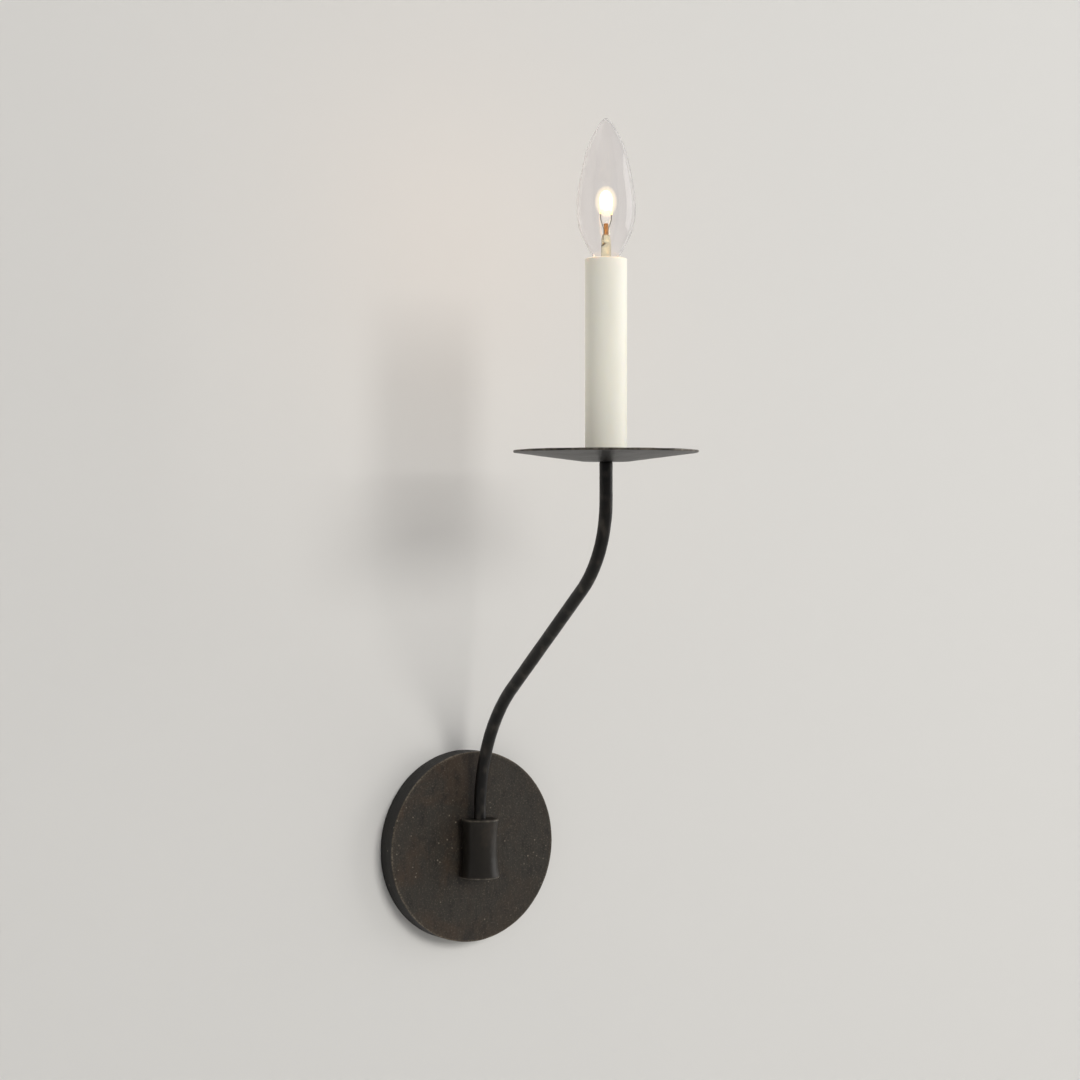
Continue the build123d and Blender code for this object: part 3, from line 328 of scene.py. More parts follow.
def mesh_of(name, shells, worn=None):
    """One mesh of closed grids, each (points, whether its last row joins its first).

    Quads join neighbouring points of a grid, and its last column joins its first. A grid whose rows don't
    join closes in the middle of its first row and of its last. A shell whose signed volume is negative is
    turned round, so that faces point outwards.
    """
    all_points, all_corners, base = [], [], 0
    for grid, joined in shells:
        if not joined:
            grid = closed_ends(grid)
        rows, columns = grid.shape[:2]
        index = np.arange(rows * columns).reshape(rows, columns)
        index = np.hstack([index, index[:, :1]])
        if joined:
            index = np.vstack([index, index[:1]])
        quads = np.stack([index[:-1, :-1], index[:-1, 1:], index[1:, 1:], index[1:, :-1]], axis=-1)
        corners = quads.reshape(-1, 4)
        points = grid.reshape(-1, 3)
        if volume_of(points - points.mean(axis=0), corners) < 0:
            corners = corners[:, ::-1]
        all_points.append(points)
        all_corners.append(corners + base)
        base += len(points)
    points, corners = np.vstack(all_points), np.vstack(all_corners)
    mesh = bpy.data.meshes.new(name)
    mesh.vertices.add(len(points))
    mesh.vertices.foreach_set("co", points.astype(np.float32).ravel())
    mesh.loops.add(corners.size)
    mesh.loops.foreach_set("vertex_index", corners.astype(np.int32).ravel())
    mesh.polygons.add(len(corners))
    mesh.polygons.foreach_set("loop_start", np.arange(0, corners.size, 4, dtype=np.int32))
    mesh.update(calc_edges=True)
    if worn is not None:
        if not shells[0][1]:
            worn = np.pad(worn, ((1, 1), (0, 0)), mode="edge")
        wear = mesh.attributes.new("worn", "FLOAT", "POINT")
        wear.data.foreach_set("value", worn.astype(np.float32).ravel())
    shape = bmesh.new()
    shape.from_mesh(mesh)
    bmesh.ops.remove_doubles(shape, verts=shape.verts, dist=1e-7)
    shape.to_mesh(mesh)
    shape.free()
    return mesh


def add_piece(mesh, finish, body, replaced, sharp=40.0, holes=()):
    """The finished piece: holes cut, edges sharper than that many degrees kept, riding on its body."""
    piece = bpy.data.objects.new(mesh.name, mesh)
    bpy.context.scene.collection.objects.link(piece)
    if holes:
        drill_out(piece, holes)
    piece.data.shade_smooth()
    piece.data.set_sharp_from_angle(angle=math.radians(sharp))
    piece.data.materials.clear()
    piece.data.materials.append(finish)
    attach(piece, body)
    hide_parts(*replaced)
    return piece


def drill_out(piece, holes):
    """Cuts round holes along Y, each (x, z, radius, from y, to y), with an exact Boolean that is applied."""
    side, other = np.tile([1.0, 0, 0], (2, 1)), np.tile([0, 0, 1.0], (2, 1))
    rods = [(carried(np.array([[x, start, z], [x, end, z]]), side, other, np.full((2, 1), radius), 32), False)
            for x, z, radius, start, end in holes]
    drill = bpy.data.objects.new("drill", mesh_of("drill", rods))
    bpy.context.scene.collection.objects.link(drill)
    cut = piece.modifiers.new("holes", "BOOLEAN")
    cut.operation, cut.solver, cut.object = "DIFFERENCE", "EXACT", drill
    name, whole = piece.name, piece.data
    drilled = bpy.data.meshes.new_from_object(piece.evaluated_get(bpy.context.evaluated_depsgraph_get()))
    piece.modifiers.clear()
    piece.data = drilled
    rods_mesh = drill.data
    bpy.data.objects.remove(drill)
    bpy.data.meshes.remove(rods_mesh)
    bpy.data.meshes.remove(whole)
    drilled.name = name


# ---- finishes --------------------------------------------------------------------------------
class Number:
    """A number in a material. Arithmetic on it adds Math nodes."""

    def __init__(self, paint, socket):
        self.paint, self.socket = paint, socket

    def _math(self, operation, *values, clamped=False):
        settings = {"operation": operation, "use_clamp": clamped}
        return Number(self.paint, self.paint.node("Math", settings, dict(enumerate(values))).outputs[0])

    def __add__(self, other):
        return self._math("ADD", self, other)

    def __radd__(self, other):
        return self._math("ADD", other, self)

    def __sub__(self, other):
        return self._math("SUBTRACT", self, other)

    def __rsub__(self, other):
        return self._math("SUBTRACT", other, self)

    def __mul__(self, other):
        return self._math("MULTIPLY", self, other)

    def clamped(self):
        return self._math("ADD", self, 0.0, clamped=True)

    def rising(self, low, high):
        """0 below low, 1 above high, and a smooth step between."""
        made = self.paint.node("MapRange", {"interpolation_type": "SMOOTHSTEP"},
                               {"Value": self, "From Min": low, "From Max": high})
        return Number(self.paint, made.outputs["Result"])


class Paint:
    """One material being made from nodes."""

    def __init__(self, name):
        self.material = bpy.data.materials.new(name)
        self.material.use_nodes = True
        self.tree = self.material.node_tree
        self.tree.nodes.clear()
        self.object_place = self.node("TexCoord").outputs["Object"]

    def node(self, kind, settings=None, values=None):
        """Adds a node: its settings first, then each socket's value or link."""
        made = self.tree.nodes.new("ShaderNode" + kind)
        for key, value in (settings or {}).items():
            setattr(made, key, value)
        for key, value in (values or {}).items():
            socket = made.inputs[key]
            if isinstance(value, Number):
                self.tree.links.new(value.socket, socket)
            elif isinstance(value, bpy.types.NodeSocket):
                self.tree.links.new(value, socket)
            elif socket.type == "RGBA":
                socket.default_value = (*value, 1)
            else:
                socket.default_value = value
        return made

    def noise(self, size, detail=3.0, roughness=0.55, stretch=(1, 1, 1), shift=(0, 0, 0), warp=0.0):
        """Fractal noise whose features are about that size in metres, from 0 to 1."""
        scale = tuple(1 / (size * s) for s in stretch)
        place = self.node("Mapping", None, {"Vector": self.object_place, "Location": shift, "Scale": scale})
        made = self.node("TexNoise", None, {"Vector": place.outputs[0], "Scale": 1.0, "Detail": detail,
                                            "Roughness": roughness, "Distortion": warp})
        return Number(self, made.outputs["Fac"])

    def specks(self, size, spread, seed_shift=(0, 0, 0)):
        """1 at scattered spots and 0 between them: distance to the nearest of random points, cut off."""
        place = self.node("Mapping", None, {"Vector": self.object_place, "Location": seed_shift,
                                            "Scale": (1 / size,) * 3})
        made = self.node("TexVoronoi", {"feature": "F1"}, {"Vector": place.outputs[0], "Scale": 1.0})
        return 1 - Number(self, made.outputs["Distance"]).rising(spread * 0.4, spread)

    def attribute(self, name):
        return Number(self, self.node("Attribute", {"attribute_name": name}).outputs["Fac"])

    def place(self, axis):
        """Place of the shaded point along X (0), Y (1) or Z (2), in metres."""
        return Number(self, self.node("SeparateXYZ", None, {0: self.object_place}).outputs[axis])

    def mixed(self, low, high, factor):
        """Colour between low and high."""
        made = self.node("Mix", {"data_type": "RGBA"}, {0: factor, 6: low, 7: high})
        return made.outputs[2]

    def relief(self, *layers):
        """Normal from (height, depth in metres) layers laid over each other."""
        normal = None
        for height, depth in layers:
            values = {"Height": height, "Distance": depth, "Strength": 1.0}
            if normal is not None:
                values["Normal"] = normal
            normal = self.node("Bump", None, values).outputs[0]
        return normal

    def shader(self, **sockets):
        """Ends the material with one Principled shader. Socket names are written with _ for a space."""
        values = {key.replace("_", " "): value for key, value in sockets.items()}
        made = self.node("BsdfPrincipled", None, values)
        output = self.node("OutputMaterial")
        self.tree.links.new(made.outputs[0], output.inputs["Surface"])
        return self.material


def plate_iron(settings):
    """Stained dark iron: brown clouds, mostly on the left, streaks, soot and grain, bare along the edge,
    where the bare iron also serves as a painted highlight, and a painted shade darkening the rim.
    """
    paint = Paint("plate_iron")
    clouds = paint.noise(0.030, detail=5, roughness=0.62, shift=(3, 1, 7), warp=0.6)
    streaks = paint.noise(0.0032, detail=4, roughness=0.65, stretch=(1, 1, 7), shift=(1, 5, 2))
    grain = paint.noise(0.0011, detail=3, roughness=0.7, shift=(9, 2, 4))
    specks = paint.specks(0.0042, 0.16, (2, 8, 5)) * paint.noise(0.02, shift=(4, 4, 1)).rising(0.45, 0.6)
    worn = paint.attribute("worn")
    left = 1 - paint.place(0).rising(-0.045, 0.030)
    # Painted shade: the plate's rim, behind its front edge, is darkened.
    rim_shade_share = paint.place(1).rising(0.0009 - PLATE_OUT, 0.0016 - PLATE_OUT)
    stained = (clouds.rising(0.42, 0.68) * (0.35 + left * 0.65) + streaks.rising(0.45, 0.75) * 0.30).clamped()
    mottled = paint.noise(0.0048, detail=6, roughness=0.75, stretch=(1, 1, 1.8), shift=(7, 7, 2))
    stains = paint.mixed(settings.iron, settings.stain, stained)
    ground = paint.mixed(stains, settings.soot, mottled.rising(0.47, 0.72) * 0.75)
    grained = paint.mixed(ground, settings.grain, grain.rising(0.50, 0.76) * 0.60)
    rim_shaded = paint.mixed(grained, settings.rim_shade_iron, rim_shade_share * 0.9)
    # Bare iron along the front edge, partly a painted highlight, and light specks.
    rubbed = (worn * grain.rising(0.30, 0.62) + specks * 0.75).clamped()
    return paint.shader(
        Base_Color=paint.mixed(rim_shaded, settings.worn, rubbed),
        Metallic=rubbed * 0.6,
        Roughness=0.50 + clouds * 0.12 - rubbed * 0.12 + grain * 0.06,
        Specular_IOR_Level=0.40,
        Normal=paint.relief((streaks, 0.00020), (grain, 0.00014), (1 - specks, 0.00012)))


def black_iron(settings, name="black_iron", black=None, brown=None):
    """Blackened forged iron: near black, brown where thin, faintly hammered, rubbed along its lips; on the
    boss the rubbed lips also carry a painted highlight.
    """
    paint = Paint(name)
    clouds = paint.noise(0.016, detail=4, roughness=0.6, shift=(5, 3, 1), warp=0.4)
    scale = paint.noise(0.0026, detail=3, roughness=0.6, stretch=(1, 1, 2.2), shift=(2, 6, 8))
    grain = paint.noise(0.0008, detail=2, roughness=0.7, shift=(7, 1, 3))
    worn = paint.attribute("worn")
    thin = (clouds.rising(0.46, 0.74) * 0.7 + scale.rising(0.52, 0.8) * 0.3).clamped()
    rubbed = (worn * (0.35 + scale.rising(0.35, 0.65) * 0.65)).clamped()
    ground = paint.mixed(black or settings.black, brown or settings.brown, thin)
    return paint.shader(
        Base_Color=paint.mixed(ground, settings.worn, rubbed),
        Metallic=rubbed * 0.5,
        Roughness=0.33 + clouds * 0.08 + grain * 0.06 - rubbed * 0.05,
        Specular_IOR_Level=0.32,
        Normal=paint.relief((clouds, 0.00022), (scale, 0.00008), (grain, 0.00003)))


def zinc_steel():
    """Zinc-plated steel with faint crystals and handling marks."""
    paint = Paint("zinc_steel")
    crystals = paint.noise(0.0025, detail=2, roughness=0.5, shift=(1, 2, 3), warp=1.2)
    scuffs = paint.noise(0.0007, detail=3, roughness=0.7, stretch=(9, 1, 1), shift=(4, 1, 6))
    return paint.shader(
        Base_Color=paint.mixed((0.50, 0.50, 0.49), (0.68, 0.68, 0.66), crystals.rising(0.3, 0.7)),
        Metallic=1.0,
        Roughness=0.30 + crystals * 0.12 + scuffs * 0.08,
        Normal=paint.relief((scuffs, 0.00002)))


def ivory_sleeve(settings):
    """Smooth ivory sleeve with the faintest clouding, a little translucent, with a painted glow: an even
    emission that stands in for the lamp's light from inside and lifts its shaded side.
    """
    paint = Paint("ivory_sleeve")
    clouds = paint.noise(0.018, detail=3, roughness=0.5, stretch=(1, 1, 2.5), shift=(2, 2, 9))
    skin = paint.noise(0.0016, detail=2, roughness=0.5, shift=(6, 1, 2))
    return paint.shader(
        Base_Color=paint.mixed(settings.ivory, settings.shade, clouds.rising(0.35, 0.75)),
        Roughness=0.42 + skin * 0.08,
        Subsurface_Weight=0.20,
        Subsurface_Radius=(1.0, 0.75, 0.4),
        Subsurface_Scale=0.0015,
        # Painted glow: an even emission that lifts the sleeve's shaded side.
        Emission_Color=(1.0, 0.94, 0.74),
        Emission_Strength=settings.glow,
        Normal=paint.relief((clouds, 0.00006), (skin, 0.00001)))


def clear_glass(settings):
    """Clear glass with the long, low waves that blowing leaves."""
    paint = Paint("clear_glass")
    blown = paint.noise(0.012, detail=1, roughness=0.4, stretch=(1, 1, 2.5), shift=(1, 4, 2))
    return paint.shader(
        Base_Color=settings.tint,
        Roughness=0.0,
        IOR=1.5,
        Transmission_Weight=1.0,
        Normal=paint.relief((blown, 0.00002)))


def stem_glass(settings, press_top):
    """Cream glass that turns amber above its press, wavy from being pressed hot."""
    paint = Paint("stem_glass")
    amber = paint.place(2).rising(press_top - 0.001, press_top + 0.0005)
    pressed = paint.noise(0.003, detail=2, roughness=0.5, shift=(2, 3, 6))
    return paint.shader(
        Base_Color=paint.mixed(settings.cream, settings.amber, amber),
        Roughness=0.08,
        IOR=1.5,
        Transmission_Weight=0.95,
        Normal=paint.relief((pressed, 0.00012)))


def glowing_filament(settings):
    """White-hot wire, a little cooler towards its two ends."""
    paint = Paint("glowing_filament")
    span = FILAMENT_HIGH[2] - FILAMENT_LOW[2]
    hot = (paint.place(2) - float(FILAMENT_LOW[2])) * float(1 / span)
    grain = paint.noise(0.0006, shift=(3, 3, 3))
    heated = (hot.rising(0.0, 0.45) + grain * 0.1).clamped()
    light = paint.mixed((1.0, 0.50, 0.16), settings.glow, heated)
    return paint.shader(Base_Color=(0.30, 0.28, 0.26), Metallic=1.0, Roughness=0.5,
                        Emission_Color=light, Emission_Strength=settings.heat)


def wire_metal(name, low, high, rough):
    """Drawn or plated wire and small metal parts with faint draw marks."""
    paint = Paint(name)
    tone = paint.noise(0.0022, detail=3, roughness=0.6, shift=(4, 7, 2))
    marks = paint.noise(0.0005, detail=2, roughness=0.6, stretch=(1, 1, 5), shift=(8, 2, 2))
    return paint.shader(Base_Color=paint.mixed(low, high, tone.rising(0.3, 0.7)), Metallic=1.0,
                        Roughness=rough + marks * 0.12, Normal=paint.relief((marks, 0.00001)))


def moulding(name, low, high, rough, metal=0.0):
    """Moulded or extruded insulation with a fine skin."""
    paint = Paint(name)
    tone = paint.noise(0.004, detail=3, roughness=0.6, shift=(1, 9, 4))
    skin = paint.noise(0.0006, detail=2, roughness=0.6, shift=(5, 5, 1))
    return paint.shader(Base_Color=paint.mixed(low, high, tone.rising(0.3, 0.7)), Metallic=metal,
                        Roughness=rough + skin * 0.1, Normal=paint.relief((skin, 0.00002)))


def fibre_paper():
    """Grey-brown pressed fibre with long threads."""
    paint = Paint("fibre_paper")
    threads = paint.noise(0.0006, detail=4, roughness=0.7, stretch=(1, 1, 8), shift=(2, 3, 5))
    clouds = paint.noise(0.006, detail=3, shift=(6, 2, 1))
    light = (threads * 0.6 + clouds * 0.5).clamped()
    return paint.shader(
        Base_Color=paint.mixed((0.20, 0.155, 0.11), (0.33, 0.27, 0.20), light),
        Roughness=0.75 + threads * 0.1,
        Normal=paint.relief((threads, 0.00004)))


# ---- pieces ----------------------------------------------------------------------------------
def make_plate(settings):
    """Round cup, open at the wall.

    Its outline of front, edge, rim, inner wall and inner face is turned round Y.
    """
    inner_r, inside = PLATE_R - settings.rim, PLATE_OUT - settings.front
    corners = [(0, PLATE_OUT), (PLATE_R, PLATE_OUT), (PLATE_R, 0),
               (inner_r, 0), (inner_r, inside), (0, inside)]
    line = rounded_line(corners, [settings.edge, 0.0004, 0.0003, 0.0008], 0.0011)
    radius, out = line[:, :1], line[:, 1:]
    front = np.clip((out - inside) / (PLATE_OUT - inside), 0, 1) * (radius < inner_r)
    rim = np.clip((radius - inner_r) / settings.rim, 0, 1)

    def dent(points):
        broad = ripple(points, 0.034, 11)
        marks = ripple(points, 0.011, 12) * 0.45
        fine = ripple(points, 0.0035, 13) * 0.10
        from_boss = np.clip((np.hypot(points[..., 0], points[..., 2]) - 0.012) / 0.01, 0, 1)
        return settings.dents * (broad + marks + fine) * np.maximum(front * from_boss, rim * 0.8)

    grid = turned(line, 288, upright=False, dent=dent)
    # Bare iron along the front edge, which also works as a painted highlight.
    rounding = settings.edge * 0.45
    to_edge = np.hypot(radius - (PLATE_R - rounding), out - (PLATE_OUT - rounding))
    worn = np.exp(-(to_edge / (settings.edge * 0.5)) ** 2) * (0.45 + 0.55 * ripple(grid, 0.012, 14))
    add_piece(mesh_of("plate", [(grid, True)], worn), plate_iron(settings), "fixture",
              ["wall_plate"], sharp=50, holes=plate_holes(settings, inside))


def plate_holes(settings, inside):
    """Holes in the plate's front for the boss screws, the arm's set screw and the wire bushing."""
    screws_high = edges_of("boss_screws")[1]
    screw_x = float(screws_high[0]) - settings.screw_head
    screw_z = float(screws_high[2]) - settings.screw_head
    bush_low, bush_high = edges_of("wire_bushing")
    grub_low, grub_high = edges_of("arm_set_screw")
    bush_r = float(bush_high[0]) - settings.bush_flange
    through = (-PLATE_OUT - 0.001, -inside + 0.001)
    holes = [(x, z, settings.screw_hole, *through) for x in (-screw_x, screw_x) for z in (-screw_z, screw_z)]
    holes.append((0.0, float(grub_low[2] + grub_high[2]) / 2, settings.grub_hole, *through))
    holes.append((0.0, float(bush_low[2] + bush_high[2]) / 2, bush_r, *through))
    return holes


def make_boss(settings):
    """Waisted spool cut flat where it seats on the plate, with a socket for the arm.

    At each height the section is the larger arc of a circle of radius R(height) closed by the chord on the
    plate; R grows from the waist to either end with the 2.4th power of the distance. Both ends' sections
    shrink evenly to the hole or to the middle.
    """
    half, lip, waist = BOSS_HALF, settings.boss_lip, settings.boss_waist
    turns = np.linspace(1, -1, 41)
    swell = np.where(turns > 0, settings.boss_top, settings.boss_foot) - waist
    side = np.stack([waist + swell * np.abs(turns) ** 2.4, half * turns], axis=1)
    top = rounded_line([(ARM_R, half), (settings.boss_top, half), side[4]], [lip], 0.0007)
    bottom = rounded_line([side[-5], (settings.boss_foot, -half), (NEAR_AXIS, -half)], [lip], 0.0007)
    socket_r, mouth_r = ARM_R + settings.socket_play, ARM_R + settings.socket_mouth
    countersink = half - settings.socket_mouth * 0.8
    corners = [(NEAR_AXIS, ARM_LOW[2]), (socket_r, ARM_LOW[2]), (socket_r, countersink), (mouth_r, half)]
    socket = rounded_line(corners, [0, 0], 0.0015)
    outline = np.vstack([socket, top[top[:, 0] > mouth_r + 0.0001], side[5:-5], bottom])
    radius, height = outline[:, :1], outline[:, 1:]
    end = np.where(height > 0, settings.boss_top, settings.boss_foot)
    chord = ARM_OUT - PLATE_OUT
    is_outside = np.arange(len(outline))[:, None] >= len(socket)
    reach = np.where(is_outside, np.maximum(radius, 1e-9), 1.0)
    # An end's section is the widest section drawn in, so its chord draws in with it.
    widest = np.where(np.abs(height) > half - lip * 1.01, end, reach)
    near = np.where(is_outside, chord * np.minimum(reach / widest, 1.0), np.inf)
    open_angle = np.arccos(np.clip(near / reach, -1, 1)) * is_outside
    around = np.linspace(0, 1, 96, endpoint=False)[None, :]
    # Share of a section's points that lie on its chord.
    flat_share = 0.22
    on_chord = around < flat_share
    chord_angle = -open_angle + 2 * open_angle * around / flat_share
    arc_angle = open_angle + (TAU - 2 * open_angle) * (around - flat_share) / (1 - flat_share)
    outer_angle = np.where(on_chord, chord_angle, arc_angle)
    angle = np.where(is_outside, outer_angle, around * TAU)
    limit = np.where(np.cos(angle) > 1e-6, near / np.maximum(np.cos(angle), 1e-6), np.inf)
    length_out = np.where(is_outside, np.minimum(radius, limit), radius)
    grid = np.stack([length_out * np.sin(angle), -ARM_OUT + length_out * np.cos(angle),
                     height + 0 * angle], axis=-1)
    marks = 0.00012 * ripple(grid, 0.007, 21) + 0.00004 * ripple(grid, 0.0025, 22)
    inward = np.clip((length_out - 0.0095) / 0.001, 0, 1) * (np.abs(limit) > length_out * 1.02)
    grid[..., 0] -= marks * inward * np.sin(angle)
    grid[..., 1] -= marks * inward * np.cos(angle)
    # Lighter bands along the top and bottom lips: rubbed iron and a painted highlight.
    lips = np.exp(-((np.abs(height) - half + lip * 0.35) / (lip * 0.5)) ** 2)
    near_edge = np.clip((radius - end + 0.003) / 0.002, 0, 1)
    worn = lips * near_edge * (0.3 + 0.7 * ripple(grid, 0.005, 23))
    finish = black_iron(settings, "rubbed_iron", settings.boss_black, settings.boss_brown)
    add_piece(mesh_of("spool", [(grid, False)], worn), finish, "fixture", ["boss"], sharp=45)


def arm_route(settings, start, end, spacing):
    """Centres and directions of the arm in its own plane, as (distance from the wall, height).

    Upright, then an arc, a straight run and a second arc back to upright. An arc of radius r that starts
    upright is r (1 - cos a) out and r sin a up; the straight run takes up what the arcs leave of the reach.
    """
    lean, low, high = settings.lean, settings.lower_bend, settings.upper_bend
    run = (REACH - ARM_OUT - (low + high) * (1 - math.cos(lean))) / math.sin(lean)
    slope = np.array([math.sin(lean), math.cos(lean)])
    foot = np.array([ARM_OUT, settings.bend_start])
    angle = np.linspace(0, lean, math.ceil(low * lean / spacing) + 1)[:, None]
    lower = foot + low * np.hstack([1 - np.cos(angle), np.sin(angle)])
    straight = split(lower[-1], lower[-1] + run * slope, spacing)
    back = np.linspace(lean, 0, math.ceil(high * lean / spacing) + 1)[:, None]
    upper = straight[-1] + high * np.hstack([np.cos(back) - math.cos(lean), math.sin(lean) - np.sin(back)])
    points = np.vstack([split(np.array([ARM_OUT, start]), foot, spacing)[:-1], lower[:-1], straight[:-1],
                        upper[:-1], split(upper[-1], np.array([REACH, end]), spacing)])
    return points, unit_rows(np.gradient(points, axis=0))


def make_arm(settings):
    """Bent tube: rings across the route, out to the tube's radius, in to the stud, and back down the bore."""
    shoulder, top = float(PAN_LOW[2]), float(ARM_HIGH[2])
    points, heading = arm_route(settings, float(ARM_LOW[2]), shoulder, 0.0012)
    stud = split(np.array([REACH, shoulder]), np.array([REACH, top]), 0.0015)
    centres = np.vstack([points, stud, stud[::-1], points[::-1]])
    heading = np.vstack([heading, np.tile([0, 1.0], (2 * len(stud), 1)), heading[::-1]])
    size = np.concatenate([np.full(len(points), ARM_R), np.full(len(stud), settings.stud),
                           np.full(len(stud) + len(points), settings.bore)])[:, None]
    size[0], size[len(points) - 1] = ARM_R - settings.wall_end_edge, ARM_R - settings.stud_end_edge
    place = np.stack([0 * centres[:, 0], -centres[:, 0], centres[:, 1]], axis=1)
    across = np.tile([1.0, 0, 0], (len(place), 1))
    beside = np.stack([0 * heading[:, 0], heading[:, 1], heading[:, 0]], axis=1)
    grid = carried(place, across, beside, np.repeat(size, 40, axis=1), 40)
    outer = (np.arange(len(place)) < len(points))[:, None]
    # Squeezed along the arm, so that its hammer marks run long.
    squeezed = grid * np.array([1.0, 0.6, 0.6])
    depth = (0.00009 * ripple(squeezed, 0.011, 31) + 0.00004 * ripple(grid, 0.0045, 32)) * outer
    grid = carried(place, across, beside, size - depth, 40)
    worn = ripple(grid, 0.009, 33) ** 6 * outer * 0.25
    add_piece(mesh_of("bent_tube", [(grid, True)], worn), black_iron(settings), "fixture",
              ["arm"])


def make_pan(settings):
    """Shallow dish: hub, straight cone and rounded rim as one outline with a middle hole, turned upright."""
    low, rise = float(PAN_LOW[2]), float(PAN_HIGH[2] - PAN_LOW[2]) - settings.pan_wall
    rim, hub, wall = float(PAN_HIGH[0]), settings.pan_hub, settings.pan_wall
    hole = settings.stud + settings.stud_play
    corners = [(hole, low + wall), (hub, low + wall), (rim, low + wall + rise), (rim, low + rise), (hub, low),
               (hole, low)]
    line = rounded_line(corners, [0.006, settings.pan_edge, settings.pan_edge, 0.008], 0.0013)

    def dent(points):
        from_axis = np.hypot(points[..., 0], points[..., 1] + REACH)
        rim_share = np.clip((from_axis - hub) / (rim - hub), 0, 1)
        return (0.00012 * ripple(points, 0.017, 41) + 0.00004 * ripple(points, 0.006, 42)) * rim_share ** 0.5

    grid = turned(line, 240, dent=dent)
    from_rim = np.hypot(line[:, :1] - rim, line[:, 1:] - low - rise - wall * 0.6)
    worn = np.exp(-(from_rim / 0.0011) ** 2) * (0.15 + 0.85 * ripple(grid, 0.010, 43))
    add_piece(mesh_of("drip_pan", [(grid, True)], worn), black_iron(settings), "fixture",
              ["pan"])


def make_sleeve(settings):
    """Plain tube with a softly rounded top, turned upright."""
    low, high, outer = float(SLEEVE_LOW[2]), float(SLEEVE_HIGH[2]), float(SLEEVE_HIGH[0])
    inner = outer - settings.wall
    middle = (inner + outer) / 2
    corners = [(middle, high), (outer, high), (outer, low), (inner, low), (inner, high), (middle, high)]
    line = rounded_line(corners, [settings.lip, 0.0002, 0.0002, settings.lip], 0.0016)[:-1]
    add_piece(mesh_of("ivory_tube", [(turned(line, 128), True)]), ivory_sleeve(settings), "sleeve",
              ["candle_sleeve"])


def smooth_outline(knots, steps):
    """Natural cubic through the knots and their mirror image, so that it meets the axis squarely.

    The parameter is the distance between knots. The second derivatives solve the usual system of three
    diagonals.
    """
    mirrored = np.vstack([knots, knots[-2::-1] * [-1, 1]])
    step = np.linalg.norm(np.diff(mirrored, axis=0), axis=1)
    at = np.concatenate([[0], np.cumsum(step)])
    n = len(at)
    system, right = np.eye(n), np.zeros((n, 2))
    inner = np.arange(1, n - 1)
    system[inner, inner - 1], system[inner, inner + 1] = step[:-1], step[1:]
    system[inner, inner] = 2 * (step[:-1] + step[1:])
    slope = np.diff(mirrored, axis=0) / step[:, None]
    right[1:-1] = 6 * np.diff(slope, axis=0)
    bend = np.linalg.solve(system, right)
    wanted = np.linspace(0, at[len(knots) - 1], steps)
    k = np.clip(np.searchsorted(at, wanted, side="right") - 1, 0, n - 2)
    h, left = step[k][:, None], (wanted - at[k])[:, None]
    rest = h - left
    return (bend[k] * rest ** 3 + bend[k + 1] * left ** 3) / (6 * h) \
        + (mirrored[k] / h - bend[k] * h / 6) * rest + (mirrored[k + 1] / h - bend[k + 1] * h / 6) * left


# Places on the envelope's outline, as (share of its widest radius, share of its height above the sleeve).
GLASS_KNOTS = ((0.417, 0.0), (0.693, 0.105), (0.871, 0.187), (1.0, 0.344), (0.939, 0.511), (0.791, 0.674),
               (0.552, 0.837), (0.355, 0.917), (0.198, 0.971), (0.0, 1.0))


def make_glass(settings):
    """Candle-shaped envelope: a smooth outline down to the neck, and the same moved in by the wall."""
    widest, top = float(GLASS_HIGH[0]), float(GLASS_HIGH[2])
    rim, shell_top = float(SLEEVE_HIGH[2]), float(SHELL_HIGH[2])
    neck_r, neck_end = settings.neck_radius, shell_top - settings.neck
    knots = [(widest * r, rim + (top - rim) * h) for r, h in GLASS_KNOTS]
    outer = smooth_outline(np.array([(neck_r, shell_top)] + knots), 150)[::-1]
    outer[:, 0] = np.clip(outer[:, 0], 0, widest)
    neck = split(np.array([neck_r, shell_top]), np.array([neck_r, neck_end]), 0.001)[1:]
    normal = outward(outer)
    share_up = np.clip((outer[:, 1] - rim) / (top - rim), 0, 1)
    # The glass thickens over the last 4.5 percent of its height.
    thickened = np.clip((share_up - 0.955) / 0.045, 0, 1) ** 2
    wall = settings.glass_wall + (settings.tip_wall - settings.glass_wall) * thickened
    inner = outer - normal * wall[:, None]
    inner[0, 0] = 0
    inner[:, 0] = np.maximum(inner[:, 0], 0)
    bore = neck_r - settings.glass_wall
    inner_neck = split(np.array([bore, neck_end]), np.array([bore, shell_top]), 0.001)
    line = np.vstack([outer, neck, inner_neck, inner[:-2][::-1]])
    line[0, 0] = line[-1, 0] = 0
    grid = turned(line, 144)
    envelope = add_piece(mesh_of("envelope", [(grid, False)]), clear_glass(settings), "lamp",
                         ["bulb_glass"], sharp=60)
    envelope.visible_shadow = False


